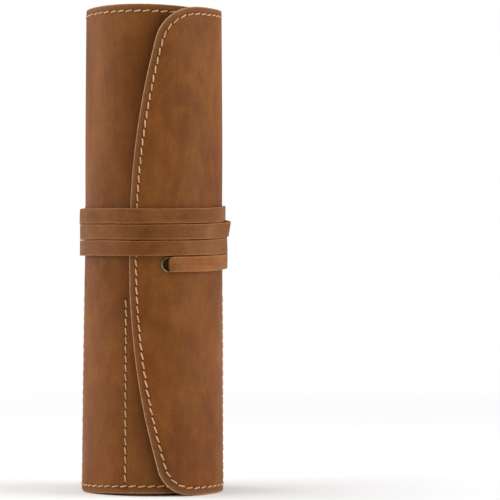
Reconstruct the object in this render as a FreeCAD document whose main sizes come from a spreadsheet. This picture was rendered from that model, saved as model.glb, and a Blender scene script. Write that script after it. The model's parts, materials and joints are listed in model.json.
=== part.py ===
import FreeCAD, Part
import math
import os
import Sketcher

# A leather roll for five fountain pens, standing upright and tied shut. The leather is one long sheet,
# rolled into a spiral round an upright axis: a core turn, the back, then a flap that overlaps the front.
# It is modelled as seven stiff panels that meet at fold lines, each with its lining and its stitching.
# Angles are in degrees about the roll's axis, from the front (-Y) towards +X, and lengths in millimetres.

DIMENSIONS = {
    # the roll
    "height": 190.0,
    "outer_skin": 1.5,
    "lining_skin": 0.7,
    "glue_line": 0.02,
    "flap_radius": 28.5,
    "back_radius": 27.1,
    "core_radius": 23.1,
    "axis_x": -1.0,
    "axis_y": -1.56,
    # where the panels begin and end
    "flap_start": -20.0,
    "flap_fold": 33.3,
    "side_fold": 86.6,
    "fold_pitch": 62.0,
    "core_span": 85.0,
    "fold_gap": 0.15,
    # the flap's bowed free edge, as seen from the front
    "edge_bow": 326.0,
    "edge_reach": -8.1,
    "edge_middle": 92.0,
    "corner_round": 12.0,
    # stitching
    "seam_inset": 2.4,
    "thread_width": 0.7,
    "thread_proud": 0.35,
    "divider_lag": 2.4,
    # pen pockets
    "pocket_height": 78.0,
    "pocket_wall": 1.0,
    "pocket_back": 0.25,
    "pocket_floor": 6.0,
    "pen_radius": 7.0,
    "core_pocket_angle": 37.0,
    # the eyelet that anchors the tie strap
    "eyelet_angle": 14.0,
    "eyelet_height": 89.4,
    "eyelet_radius": 3.2,
    "eyelet_hole": 2.2,
    "eyelet_barrel": 2.5,
    "eyelet_flange": 0.5,
    "washer_thickness": 0.25,
    "stop_radius": 2.6,
    "neck_radius": 1.0,
    # the tie strap, wound upwards round the roll
    "strap_width": 5.9,
    "strap_thickness": 1.7,
    "strap_clearance": 0.4,
    "strap_pitch": 6.35,
    "strap_wave": 0.7,
    "strap_end": 1255.0,
    "bridge_angle": 318.2,
    "start_lift": 0.65,
    "ride_lift": 1.8,
    "tab_lift": 3.35,
    # the leaf-shaped tab on the strap's end
    "tab_start": 161.0,
    "tab_end": 256.5,
    "tab_root_height": 113.0,
    "tab_tip_height": 110.4,
    "tab_half_width": 8.4,
    "tab_tip_half_width": 0.3,
    "tab_back_thickness": 1.8,
    "tab_front_thickness": 1.2,
    "tab_seam_inset": 2.1,
}

V = FreeCAD.Vector
ORIGIN = V(0, 0, 0)
UP = V(0, 0, 1)

doc = FreeCAD.newDocument("PenRoll")
sheet = doc.addObject("Spreadsheet::Sheet", "sizes")
for row, (alias, value) in enumerate(DIMENSIONS.items(), start=1):
    sheet.set(f"A{row}", alias)
    sheet.set(f"B{row}", str(value))
    sheet.setAlias(f"B{row}", alias)
doc.recompute()


def number(expression):
    """The present value of an expression over the spreadsheet's cells."""
    return float(sheet.evalExpression(str(expression)))


def size(alias):
    return number(f"sizes.{alias}")


FOLD_1 = "(sizes.side_fold + sizes.fold_pitch)"
FOLD_4 = "(sizes.side_fold + 4 * sizes.fold_pitch)"
BACK_STEP = "(sizes.flap_radius - sizes.back_radius)"
CORE_STEP = "(sizes.back_radius - sizes.core_radius)"
BACK_X = f"sizes.axis_x + {BACK_STEP} * sin({FOLD_1})"
BACK_Y = f"sizes.axis_y - {BACK_STEP} * cos({FOLD_1})"

# The spiral is three arcs that run smoothly into each other: outer radius, then the centre's X and Y.
ARCS = {
    "flap": ("sizes.flap_radius", "sizes.axis_x", "sizes.axis_y"),
    "back": ("sizes.back_radius", BACK_X, BACK_Y),
    "core": (
        "sizes.core_radius",
        f"{BACK_X} + {CORE_STEP} * sin({FOLD_4})",
        f"{BACK_Y} - {CORE_STEP} * cos({FOLD_4})",
    ),
}

# Each panel: its name, its arc, the angle where it starts and the angle that it spans.
PANELS = [
    ("flap_tip", "flap", "sizes.flap_start", "(sizes.flap_fold - sizes.flap_start)"),
    ("flap_root", "flap", "sizes.flap_fold", "(sizes.side_fold - sizes.flap_fold)"),
    ("panel_1", "flap", "sizes.side_fold", "sizes.fold_pitch"),
    ("panel_2", "back", FOLD_1, "sizes.fold_pitch"),
    ("panel_3", "back", "(sizes.side_fold + 2 * sizes.fold_pitch)", "sizes.fold_pitch"),
    ("panel_4", "back", "(sizes.side_fold + 3 * sizes.fold_pitch)", "sizes.fold_pitch"),
    ("panel_5", "core", FOLD_4, "sizes.core_span"),
]

LINING_OUTSIDE = "- sizes.outer_skin - sizes.glue_line"
POCKET_OUTSIDE = f"{LINING_OUTSIDE} - sizes.lining_skin - sizes.glue_line"


def place(piece, x, y, z="0", turn=None):
    """Put a piece at X, Y, Z and turn it about the upright axis, all by expressions."""
    angle = number(turn) if turn else 0
    base = V(number(x), number(y), number(z))
    piece.Placement = FreeCAD.Placement(base, FreeCAD.Rotation(UP, angle))
    for axis, expression in zip("xyz", (x, y, z)):
        piece.setExpression(f"Placement.Base.{axis}", expression)
    if turn:
        piece.setExpression("Placement.Rotation.Angle", turn)


# ---------------------------------------------------------------- sheets of leather, as bodies


def upright_sketch(body, name, turn=None):
    """A sketch on the body's own XZ plane, turned about the roll's axis if an angle is given."""
    sketch = body.newObject("Sketcher::SketchObject", name)
    plane = next(f for f in body.Origin.OriginFeatures if f.Role == "XZ_Plane")
    sketch.AttachmentSupport = [(plane, "")]
    sketch.MapMode = "FlatFace"
    if turn:
        spin = FreeCAD.Rotation(V(0, 1, 0), number(f"{turn} - 90"))
        sketch.AttachmentOffset = FreeCAD.Placement(ORIGIN, spin)
        sketch.setExpression("AttachmentOffset.Rotation.Angle", f"{turn} - 90")
    return sketch


def dimension(sketch, kind, references, expression):
    """A dimension of the sketch, driven by an expression."""
    value = number(expression)
    index = sketch.addConstraint(Sketcher.Constraint(kind, *references, value))
    sketch.setExpression(f"Constraints[{index}]", expression)


def add_rectangle(sketch, left, width, bottom, tall):
    """A rectangle whose place and size are expressions."""
    x, y = number(left), number(bottom)
    w, h = number(width), number(tall)
    corners = [V(x, y, 0), V(x + w, y, 0), V(x + w, y + h, 0), V(x, y + h, 0)]
    first = sketch.GeometryCount
    for side in range(4):
        sketch.addGeometry(Part.LineSegment(corners[side], corners[(side + 1) % 4]))
    for side in range(4):
        following = first + (side + 1) % 4
        sketch.addConstraint(Sketcher.Constraint("Coincident", first + side, 2, following, 1))
        direction = "Horizontal" if side % 2 == 0 else "Vertical"
        sketch.addConstraint(Sketcher.Constraint(direction, first + side))
    dimension(sketch, "DistanceX", (first, 1, first, 2), width)
    dimension(sketch, "DistanceY", (first + 1, 1, first + 1, 2), tall)
    dimension(sketch, "DistanceX", (-1, 1, first, 1), left)
    if y == 0:
        sketch.addConstraint(Sketcher.Constraint("PointOnObject", first, 1, -1))
    else:
        dimension(sketch, "DistanceY", (-1, 1, first, 1), bottom)


def curved_sheet(name, arc, start, span, inside, skin, bottom="0", tall="sizes.height"):
    """A body bent round one of the spiral's arcs: `inside` is added to the arc's outer radius."""
    radius, x, y = ARCS[arc]
    margin = f"(sizes.fold_gap / {radius} * 180 / pi)"
    body = doc.addObject("PartDesign::Body", name)
    sketch = upright_sketch(body, f"{name}_section", f"{start} + {margin}")
    add_rectangle(sketch, f"{radius} {inside}", skin, bottom, tall)
    sweep = body.newObject("PartDesign::Revolution", f"{name}_sheet")
    sweep.Profile = sketch
    sweep.ReferenceAxis = (sketch, ["V_Axis"])
    sweep.setExpression("Angle", f"{span} - 2 * {margin}")
    place(body, x, y)
    doc.recompute()
    return body


def cut_through_front(body, name, draw):
    """Cut a closed outline, drawn as seen from the front, right through the front of a body."""
    before = body.Shape.Volume
    sketch = upright_sketch(body, f"{name}_outline")
    draw(sketch)
    pocket = body.newObject("PartDesign::Pocket", name)
    pocket.Profile = sketch
    pocket.Type = "ThroughAll"
    pocket.Reversed = True
    doc.recompute()
    if body.Shape.Volume > before - 0.1:
        raise RuntimeError(f"{name} cut nothing away")


def flap_outline(inset, keep_inside):
    """The flap's outline at an inset from its edge, closed round what is cut away.

    The free edge is one long bow with a rounded corner at each end. With keep_inside the region outside
    the line is cut away, and otherwise the region inside it."""
    bow_radius = f"(sizes.edge_bow - {inset})"
    corner_radius = f"(sizes.corner_round - {inset})"
    top_level = f"(sizes.height - {inset})"
    bottom_level = f"({inset})"

    def draw(sketch):
        bow, corner = number(bow_radius), number(corner_radius)
        bottom, top = number(bottom_level), number(top_level)
        centre = V(size("edge_reach") + size("edge_bow"), size("edge_middle"), 0)
        middles = []
        for level in (top - corner, bottom + corner):
            across = math.sqrt((bow - corner) ** 2 - (level - centre.y) ** 2)
            middles.append(V(centre.x - across, level, 0))
        high, low = middles
        turn_high = math.atan2(high.y - centre.y, high.x - centre.x)
        turn_low = math.atan2(low.y - centre.y, low.x - centre.x) + 2 * math.pi
        quarter = math.pi / 2
        stretches = [
            (high, corner, quarter, turn_high),
            (centre, bow, turn_high, turn_low),
            (low, corner, turn_low, 3 * quarter),
        ]
        for middle, radius, first, last in stretches:
            circle = Part.Circle(middle, V(0, 0, 1), radius)
            sketch.addGeometry(Part.ArcOfCircle(circle, first, last))
        sketch.addConstraint(Sketcher.Constraint("Tangent", 0, 2, 1, 1))
        sketch.addConstraint(Sketcher.Constraint("Tangent", 1, 2, 2, 1))
        sketch.addConstraint(Sketcher.Constraint("Vertical", 0, 3, 0, 1))
        sketch.addConstraint(Sketcher.Constraint("Vertical", 2, 3, 2, 2))
        dimension(sketch, "Radius", (0,), corner_radius)
        dimension(sketch, "Radius", (1,), bow_radius)
        dimension(sketch, "Radius", (2,), corner_radius)
        dimension(sketch, "DistanceX", (-1, 1, 1, 3), "sizes.edge_reach + sizes.edge_bow")
        dimension(sketch, "DistanceY", (-1, 1, 1, 3), "sizes.edge_middle")
        dimension(sketch, "DistanceY", (-1, 1, 0, 1), top_level)
        dimension(sketch, "DistanceY", (-1, 1, 2, 2), bottom_level)
        close_outline(sketch, V(high.x, top, 0), V(low.x, bottom, 0), keep_inside, inset)

    return draw


def close_outline(sketch, top, bottom, keep_inside, inset):
    """Lines that close the flap's outline round what is cut away, from its top end to its bottom end."""
    above = f"sizes.height - {inset} + sizes.corner_round"
    below = f"{inset} - sizes.corner_round"
    if keep_inside:
        reach = "-2 * sizes.flap_radius"
        corners = [V(top.x, number(above), 0), V(number(reach), number(above), 0)]
        corners += [V(number(reach), number(below), 0), V(bottom.x, number(below), 0)]
        sides = ["Vertical", "Horizontal", "Vertical", "Horizontal", "Vertical"]
        held = [(0, "DistanceY", above), (1, "DistanceX", reach), (2, "DistanceY", below)]
    else:
        reach = "2 * sizes.flap_radius"
        corners = [V(number(reach), top.y, 0), V(number(reach), bottom.y, 0)]
        sides = ["Horizontal", "Vertical", "Horizontal"]
        held = [(0, "DistanceX", reach)]
    path = [top] + corners + [bottom]
    first = sketch.GeometryCount
    for here, there in zip(path, path[1:]):
        sketch.addGeometry(Part.LineSegment(here, there))
    for offset, side in enumerate(sides):
        sketch.addConstraint(Sketcher.Constraint(side, first + offset))
    for line in range(first, first + len(sides) - 1):
        sketch.addConstraint(Sketcher.Constraint("Coincident", line, 2, line + 1, 1))
    sketch.addConstraint(Sketcher.Constraint("Coincident", 0, 1, first, 1))
    sketch.addConstraint(Sketcher.Constraint("Coincident", 2, 2, first + len(sides) - 1, 2))
    for offset, kind, expression in held:
        dimension(sketch, kind, (-1, 1, first + offset, 2), expression)


def eyelet_frame():
    """The placement whose origin is on the roll's axis and whose Z axis runs out through the eyelet."""
    angle = math.radians(size("eyelet_angle"))
    outwards = V(math.sin(angle), -math.cos(angle), 0)
    base = V(size("axis_x"), size("axis_y"), size("eyelet_height"))
    return FreeCAD.Placement(base, FreeCAD.Rotation(UP, outwards))


def without_eyelet_hole(body, label):
    """The sheet with a round hole for the eyelet's barrel, as a boolean cut."""
    drill = doc.addObject("Part::Cylinder", f"{label}_drill")
    drill.setExpression("Radius", "sizes.eyelet_barrel + 0.05")
    drill.setExpression("Height", "sizes.flap_radius + 5")
    drill.Placement = eyelet_frame()
    return combine("Cut", label, body, drill)


def combine(kind, label, base, tool):
    """A boolean of two pieces: Cut, Fuse or Common."""
    piece = doc.addObject(f"Part::{kind}", label)
    piece.Base = base
    piece.Tool = tool
    return piece


parts = []

SKINS = [
    ("outer", "- sizes.outer_skin", "sizes.outer_skin"),
    ("lining", f"{LINING_OUTSIDE} - sizes.lining_skin", "sizes.lining_skin"),
]
for name, arc, start, span in PANELS:
    for kind, inside, skin in SKINS:
        label = f"{kind}_{name}"
        if name == "flap_tip":
            blank = curved_sheet(f"{label}_blank", arc, start, span, inside, skin)
            cut_through_front(blank, f"{label}_edge", flap_outline("0", True))
            parts.append(without_eyelet_hole(blank, label))
        else:
            parts.append(curved_sheet(label, arc, start, span, inside, skin))

# ---------------------------------------------------------------- hem stitching, on the outside

SEAM_LOW = "(sizes.seam_inset - sizes.thread_width / 2)"
SEAM_HIGH = "(sizes.seam_inset + sizes.thread_width / 2)"


def stitch_ring(name, arc, start, span):
    """A thread's thickness of ring over a panel, from its bottom hem to its top hem."""
    tall = f"sizes.height - 2 * {SEAM_LOW}"
    return curved_sheet(f"stitching_{name}", arc, start, span, "", "sizes.thread_proud", SEAM_LOW, tall)


def clear_between_hems(body, arc, start, span):
    """Take away the ring between the two hems, so that only the threads stay."""
    radius = ARCS[arc][0]
    sketch = upright_sketch(body, f"{body.Name}_gap", start)
    add_rectangle(sketch, f"{radius} - 1", "4", SEAM_HIGH, f"sizes.height - 2 * {SEAM_HIGH}")
    groove = body.newObject("PartDesign::Groove", f"{body.Name}_groove")
    groove.Profile = sketch
    groove.ReferenceAxis = (sketch, ["V_Axis"])
    groove.setExpression("Angle", span)
    before = body.Shape.Volume
    doc.recompute()
    if body.Shape.Volume > before - 0.1:
        raise RuntimeError(f"{body.Name} kept its ring")


# The flap's stitching runs round its free edge, and the core panel's up its straight inner edge.
for name, arc, start, span in PANELS:
    radius = ARCS[arc][0]
    setback = f"(0.5 / {radius} * 180 / pi)"
    if name == "flap_tip":
        body = stitch_ring(name, arc, start, f"({span} - {setback})")
        cut_through_front(body, "stitching_flap_outside", flap_outline(SEAM_LOW, True))
        cut_through_front(body, "stitching_flap_inside", flap_outline(SEAM_HIGH, False))
    elif name == "panel_5":
        low = f"({SEAM_LOW} / {radius} * 180 / pi)"
        high = f"({SEAM_HIGH} / {radius} * 180 / pi)"
        body = stitch_ring(name, arc, f"({start} + {setback})", f"({span} - {setback} - {low})")
        clear_between_hems(body, arc, start, f"({span} - {high})")
    else:
        body = stitch_ring(name, arc, f"({start} + {setback})", f"({span} - 2 * {setback})")
        clear_between_hems(body, arc, start, span)
    parts.append(body)

# ---------------------------------------------------------------- pen pockets and the lines between them


def cylinder(name, radius, tall, x, y, z="0", turn=None, span=None):
    piece = doc.addObject("Part::Cylinder", name)
    piece.setExpression("Radius", radius)
    piece.setExpression("Height", tall)
    if span:
        piece.setExpression("Angle", span)
    place(piece, x, y, z, turn)
    return piece


def pen_pocket(index, arc, start, span, middle):
    """A leather pouch on a panel's inside: a tube for one pen, on a band that lies on the lining."""
    radius, x, y = ARCS[arc]
    reach = f"({radius} {POCKET_OUTSIDE})"
    gap = f"(sizes.fold_gap / {radius} * 180 / pi)"
    name = f"pocket_{index}"
    tall = "sizes.pocket_height"
    band = cylinder(f"{name}_band", reach, tall, x, y, "0", f"{start} + {gap} - 90", f"{span} - 2 * {gap}")
    inside = cylinder(f"{name}_inside", f"{reach} - sizes.pocket_wall", tall, x, y)
    foot = combine("Cut", f"{name}_foot", band, inside)
    depth = f"({reach} - sizes.pen_radius - sizes.pocket_back)"
    centre_x = f"{x} + {depth} * sin({middle})"
    centre_y = f"{y} - {depth} * cos({middle})"
    tube = cylinder(f"{name}_tube", "sizes.pen_radius + sizes.pocket_wall", tall, centre_x, centre_y)
    joined = combine("Fuse", f"{name}_joined", foot, tube)
    limit = cylinder(f"{name}_limit", reach, tall, x, y)
    blank = combine("Common", f"{name}_blank", joined, limit)
    bore = cylinder(
        f"{name}_bore", "sizes.pen_radius", f"{tall} - sizes.pocket_floor", centre_x, centre_y,
        "sizes.pocket_floor",
    )
    print(f"{name}: bore axis at X {number(centre_x):.3f}, Y {number(centre_y):.3f}")
    return combine("Cut", name, blank, bore)


def divider_seam(index, arc, start):
    """The line of stitching that closes one side of a pocket, on the outside of the roll."""
    radius, x, y = ARCS[arc]
    angle = f"({start} + sizes.divider_lag)"
    seam = doc.addObject("Part::Box", f"divider_seam_{index}")
    seam.setExpression("Length", "sizes.thread_proud")
    seam.setExpression("Width", "sizes.thread_width")
    seam.setExpression("Height", f"sizes.pocket_height - {SEAM_HIGH} - 0.5")
    out = f"({radius} + 0.01)"
    aside = "(sizes.thread_width / 2)"
    corner_x = f"{x} + {out} * sin({angle}) - {aside} * cos({angle})"
    corner_y = f"{y} - {out} * cos({angle}) - {aside} * sin({angle})"
    place(seam, corner_x, corner_y, f"{SEAM_HIGH} + 0.02", f"{angle} - 90")
    return seam


for index, (name, arc, start, span) in enumerate(PANELS[2:], start=1):
    middle = f"({start} + sizes.fold_pitch / 2)"
    if arc == "core":
        middle = f"({start} + sizes.core_pocket_angle)"
    parts.append(pen_pocket(index, arc, start, span, middle))
    parts.append(divider_seam(index, arc, start))

# ---------------------------------------------------------------- the tie strap, its tab and the eyelet


def step(value, start, end):
    """0 before start, 1 after end, and smooth between them."""
    share = min(max((value - start) / (end - start), 0.0), 1.0)
    return share * share * (3 - 2 * share)


def skin_radius(angle):
    """How far the roll's outside is from its axis, with the gap under the flap's edge bridged."""
    angle = (angle + 20) % 360 - 20
    fold = number(FOLD_1)
    offset = number(BACK_STEP)
    bridge = size("bridge_angle")
    if angle <= fold:
        return size("flap_radius")
    if angle <= bridge:
        turn = math.radians(angle - fold)
        return offset * math.cos(turn) + math.sqrt(size("back_radius") ** 2 - (offset * math.sin(turn)) ** 2)
    tangent = size("back_radius") + offset * math.cos(math.radians(fold - bridge))
    return min(tangent / math.cos(math.radians(angle - bridge)), size("flap_radius"))


# Where the wound strap leaves its even spiral, as (from, to, change), in degrees turned from the front.
# Its last turn dips under the turn before it and then rises to the tab.
STRAP_DIPS = [(1142, 1168, -1.8), (1168, 1185, -0.4), (1185, 1241, 3.6)]
# Its third turn rides out over the last turn, then over the tab, and comes back.
STRAP_LIFTS = [
    (760, 782, size("ride_lift")),
    (860, 878, size("tab_lift") - size("ride_lift")),
    (962, 1005, -size("tab_lift")),
]


def strap_height(turned):
    """Height of the strap's middle line after it has turned this far: flatter at the front and back."""
    start = size("eyelet_angle")
    pitch = size("strap_pitch")
    wave = math.sin(math.radians(2 * turned)) - math.sin(math.radians(2 * start))
    level = size("eyelet_height") + pitch * (turned - start) / 360
    level -= size("strap_wave") * pitch * wave / (4 * math.pi)
    return level + sum(change * step(turned, first, last) for first, last, change in STRAP_DIPS)


def strap_lift(turned):
    """How far the strap stands off the roll: it starts over the eyelet, then rides over its own end."""
    start = size("eyelet_angle")
    lift = size("start_lift") * (1 - step(turned, start + 3, start + 14))
    return lift + sum(change * step(turned, first, last) for first, last, change in STRAP_LIFTS)


def on_roll(angle, stand_off, level):
    """The point at this angle and height that stands off the roll's outside."""
    radius = skin_radius(angle) + size("strap_clearance") + stand_off
    turn = math.radians(angle)
    return V(radius * math.sin(turn), -radius * math.cos(turn), level)


def skin_bar(sections, faces_per_side):
    """A solid along a run of four-cornered sections, whose long sides are ruled surfaces.

    The run is divided into equal stretches, and each long edge of a stretch is one smooth curve."""
    faces = [Part.Face(Part.makePolygon(end + end[:1])) for end in (sections[0], sections[-1])]
    stride = max(1, (len(sections) - 1) // faces_per_side)
    for first in range(0, len(sections) - 1, stride):
        stretch = sections[first:first + stride + 1]
        edges = []
        for corner in range(4):
            curve = Part.BSplineCurve()
            curve.interpolate([section[corner] for section in stretch])
            edges.append(curve.toShape())
        for corner in range(4):
            faces.append(Part.makeRuledSurface(edges[corner], edges[(corner + 1) % 4]))
    shell = Part.makeShell(faces)
    shell.sewShape()
    solid = Part.makeSolid(shell)
    if solid.Volume < 0:
        solid.reverse()
    return solid


def section_at(angle, stand_off, thickness, low, high):
    """The four corners of an upright section of a strip that lies round the roll."""
    return [
        on_roll(angle, stand_off, low),
        on_roll(angle, stand_off + thickness, low),
        on_roll(angle, stand_off + thickness, high),
        on_roll(angle, stand_off, high),
    ]


def spread(start, end, count):
    return [start + (end - start) * index / count for index in range(count + 1)]


def feature(label, shape):
    piece = doc.addObject("Part::Feature", label)
    piece.Shape = shape
    piece.Placement = FreeCAD.Placement(V(size("axis_x"), size("axis_y"), 0), FreeCAD.Rotation())
    return piece


def strap_sections(start, end, count, widening=0.0, thickening=0.0):
    half = size("strap_width") / 2 + widening
    thickness = size("strap_thickness") + 2 * thickening
    sections = []
    for turned in spread(start, end, count):
        level = strap_height(turned)
        stand_off = strap_lift(turned) - thickening
        sections.append(section_at(turned, stand_off, thickness, level - half, level + half))
    return sections


def eyelet_cylinder(radius, low, high, shift=0.0):
    """A cylinder along the eyelet's axis, from one distance off the roll's axis to another."""
    turn = math.radians(size("eyelet_angle"))
    outwards = V(math.sin(turn), -math.cos(turn), 0)
    sideways = V(math.cos(turn), math.sin(turn), 0)
    base = outwards * low + sideways * shift + UP * size("eyelet_height")
    return Part.makeCylinder(radius, high - low, base, outwards)


inside_radius = number(f"sizes.flap_radius {POCKET_OUTSIDE}")
eyelet_radius = size("eyelet_radius")
washer_outside = math.sqrt(inside_radius**2 - eyelet_radius**2)
washer_inside = washer_outside - size("washer_thickness")
stop_outside = washer_inside - 0.03
stop_inside = stop_outside - size("washer_thickness")
flange_outside = size("flap_radius") + size("eyelet_flange")

strap_start = size("eyelet_angle") + 0.2
turns = strap_sections(strap_start, size("strap_end"), 200)
strap = skin_bar(turns, 25)
strap_underside = skin_radius(strap_start) + size("strap_clearance") + size("start_lift")
neck_shift = size("neck_radius") + 0.1
neck = eyelet_cylinder(size("neck_radius"), stop_outside, strap_underside + 0.5, neck_shift)
parts.append(feature("tie_strap", strap.fuse(neck)))
middle_line = [(section[0] + section[2]) / 2 for section in turns]
strap_length = sum(here.distanceToPoint(there) for here, there in zip(middle_line, middle_line[1:]))
print(f"tie strap: {strap_length:.0f} mm along its middle line")

stop = eyelet_cylinder(size("stop_radius"), stop_inside, stop_outside)
parts.append(feature("strap_stop", stop))

hole = eyelet_cylinder(size("eyelet_hole"), washer_inside - 1, flange_outside + 1)
barrel = eyelet_cylinder(size("eyelet_barrel"), washer_inside, flange_outside)
flange = eyelet_cylinder(eyelet_radius, size("flap_radius"), flange_outside)
parts.append(feature("eyelet", flange.fuse(barrel).cut(hole)))

washer_hole = eyelet_cylinder(size("eyelet_barrel") + 0.02, washer_inside - 1, washer_outside + 1)
washer = eyelet_cylinder(eyelet_radius, washer_inside, washer_outside)
parts.append(feature("eyelet_washer", washer.cut(washer_hole)))


def tab_middle(share):
    return size("tab_root_height") + (size("tab_tip_height") - size("tab_root_height")) * share


def tab_half_width(share):
    tip = size("tab_tip_half_width")
    return tip + (size("tab_half_width") - tip) * (1 - share**1.8)


def tab_sections(stand_off, thickness):
    """Sections of a leaf shape that narrows from its square root to its pointed tip."""
    sections = []
    for share in spread(0, 1, 24):
        angle = size("tab_start") + (size("tab_end") - size("tab_start")) * share
        low = tab_middle(share) - tab_half_width(share)
        high = tab_middle(share) + tab_half_width(share)
        sections.append(section_at(angle, stand_off, thickness, low, high))
    return sections


back_thickness = size("tab_back_thickness")
front_thickness = size("tab_front_thickness")
leaf = skin_bar(tab_sections(0, back_thickness), 4)
notch = skin_bar(strap_sections(size("strap_end") - 24, size("strap_end") + 0.4, 8, 0.1, 0.3), 1)
parts.append(feature("tab_back", leaf.cut(notch)))
parts.append(feature("tab_front", skin_bar(tab_sections(back_thickness + 0.02, front_thickness), 4)))


def tab_seam():
    """Stitching inside the tab's edge: along its top, along its bottom and across its root."""
    stand_off = back_thickness + front_thickness + 0.03
    half = size("thread_width") / 2
    inset = size("tab_seam_inset")
    span = size("tab_end") - size("tab_start")
    proud = size("thread_proud") - 0.1
    rows = []
    for side in (1, -1):
        sections = []
        for share in spread(0.05, 0.86, 16):
            level = tab_middle(share) + side * (tab_half_width(share) - inset)
            angle = size("tab_start") + span * share
            sections.append(section_at(angle, stand_off, proud, level - half, level + half))
        rows.append(skin_bar(sections, 4))
    root = tab_half_width(0.03) - inset - 2 * half
    sections = []
    for angle in spread(size("tab_start") + 3, size("tab_start") + 4.3, 2):
        sections.append(section_at(angle, stand_off, proud, tab_middle(0.03) - root, tab_middle(0.03) + root))
    rows.append(skin_bar(sections, 1))
    return Part.makeCompound(rows)


parts.append(feature("tab_seam", tab_seam()))

# ---------------------------------------------------------------- check every piece, then write it

doc.recompute()
for piece in doc.Objects:
    if "Invalid" in piece.State or "Error" in piece.State:
        raise RuntimeError(f"{piece.Label} failed: {piece.State}")
os.makedirs("parts", exist_ok=True)
box = FreeCAD.BoundBox()
for piece in parts:
    shape = piece.Shape
    if shape.isNull() or not shape.isValid() or not shape.Solids:
        raise RuntimeError(f"{piece.Label} has no valid solid")
    box.add(shape.BoundBox)
    shape.exportStep(f"parts/{piece.Label}.step")
    print(f"{piece.Label:22s} {len(shape.Solids)} solid(s) {shape.Volume:10.2f} mm3")
print(f"{len(parts)} pieces in a box {box.XMin:.2f} {box.YMin:.2f} {box.ZMin:.2f}", end=" ")
print(f"to {box.XMax:.2f} {box.YMax:.2f} {box.ZMax:.2f}")
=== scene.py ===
import json
import math

import bpy
import numpy as np
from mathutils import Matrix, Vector


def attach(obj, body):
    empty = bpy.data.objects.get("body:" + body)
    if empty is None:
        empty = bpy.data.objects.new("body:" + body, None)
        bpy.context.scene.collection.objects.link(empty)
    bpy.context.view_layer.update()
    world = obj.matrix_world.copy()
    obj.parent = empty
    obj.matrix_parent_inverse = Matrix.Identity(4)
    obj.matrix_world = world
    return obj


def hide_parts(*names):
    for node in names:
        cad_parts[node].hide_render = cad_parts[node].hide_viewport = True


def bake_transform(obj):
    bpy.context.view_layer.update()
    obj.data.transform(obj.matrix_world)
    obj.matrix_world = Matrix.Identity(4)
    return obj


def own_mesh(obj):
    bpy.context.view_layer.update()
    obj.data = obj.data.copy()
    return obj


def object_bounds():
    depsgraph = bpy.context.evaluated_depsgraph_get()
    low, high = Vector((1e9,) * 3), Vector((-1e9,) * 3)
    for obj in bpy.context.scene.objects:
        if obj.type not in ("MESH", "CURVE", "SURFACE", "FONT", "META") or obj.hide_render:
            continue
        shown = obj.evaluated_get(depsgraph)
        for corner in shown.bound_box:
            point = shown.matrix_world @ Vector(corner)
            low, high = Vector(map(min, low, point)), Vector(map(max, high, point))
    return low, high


# The looks of a leather pen roll that stands upright, tied shut with its strap.
# Lengths are in millimetres until a mesh is made, and angles are in degrees about the roll's axis, from
# the front (-Y) towards +X. A place on the rolled sheet is (along, height, depth): how far round its
# outer face, how high, and how deep below that face.

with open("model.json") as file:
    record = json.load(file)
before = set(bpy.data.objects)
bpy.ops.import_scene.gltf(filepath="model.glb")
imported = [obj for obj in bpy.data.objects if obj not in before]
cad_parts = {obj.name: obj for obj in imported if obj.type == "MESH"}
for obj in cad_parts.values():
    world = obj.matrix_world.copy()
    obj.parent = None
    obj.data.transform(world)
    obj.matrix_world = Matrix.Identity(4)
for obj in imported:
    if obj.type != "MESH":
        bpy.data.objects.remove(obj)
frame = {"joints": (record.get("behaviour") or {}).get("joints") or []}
cad_low, cad_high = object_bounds()

MM = 0.001
HEIGHT = cad_high.z / MM

# ---- the rolled sheet's driving sizes

FLAP_RADIUS, BACK_RADIUS, CORE_RADIUS = 28.5, 27.1, 23.1
RADII = np.array([FLAP_RADIUS, BACK_RADIUS, CORE_RADIUS])
BODIES = ["flap_tip", "flap_root", "panel_1", "panel_2", "panel_3", "panel_4", "panel_5"]
FOLDS = [33.3, 86.6, 148.6, 210.6, 272.6, 334.6]
BACK_STARTS, CORE_STARTS, SHEET_ENDS = FOLDS[2], FOLDS[5], 419.6
OUTER_SKIN, LINING_SKIN, POCKET_SKIN, GLUE_LINE = 1.5, 0.7, 1.0, 0.02
LINING_TOP = OUTER_SKIN + GLUE_LINE
LINING_FACE = LINING_TOP + LINING_SKIN
POCKET_TOP = LINING_FACE + GLUE_LINE
POCKET_FACE = POCKET_TOP + POCKET_SKIN

EDGE_BOW, EDGE_REACH, EDGE_MIDDLE, UPPER_ROUND, LOWER_ROUND = 326.0, -8.6, 96.0, 17.0, 13.5
SEAM_INSET, STITCH_PITCH, THREAD_RADIUS = 2.75, 3.6, 0.3
DIVIDER_LAG, FRONT_DIVIDER_LAG, POCKET_HEIGHT = 2.4, 4.0, 78.0
PEN_RADIUS, POCKET_BACK, CORE_POCKET_ANGLE, POCKET_ANGLE = 7.0, 0.25, 37.0, 31.0

EYELET_ANGLE, EYELET_HEIGHT = 14.0, 89.4
EYELET_RADIUS, EYELET_HOLE, EYELET_BARREL, EYELET_FLANGE = 3.2, 2.2, 2.5, 0.5
WASHER_THICKNESS, STOP_RADIUS = 0.25, 2.6

STRAP_WIDTH, STRAP_SPREAD, STRAP_THICKNESS, STRAP_CLEARANCE = 5.8, 0.13, 1.7, 0.4
STRAP_PITCH, STRAP_SLACK, STRAP_LAG, STRAP_END, BRIDGE_ANGLE = 6.25, 1.3, 45.0, 1255.0, 318.2
START_LIFT, RIDE_LIFT, TAB_LIFT = 0.65, 1.0, 3.35
STRAP_DIPS = [(1164, 1188, -1.8), (1188, 1240, 2.7)]
STRAP_TILTS = [(782, 804, 0.4), (812, 840, -0.4)]
STRAP_LIFTS = [(782, 808, RIDE_LIFT), (860, 878, TAB_LIFT - RIDE_LIFT), (957, 986, -TAB_LIFT)]

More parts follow.
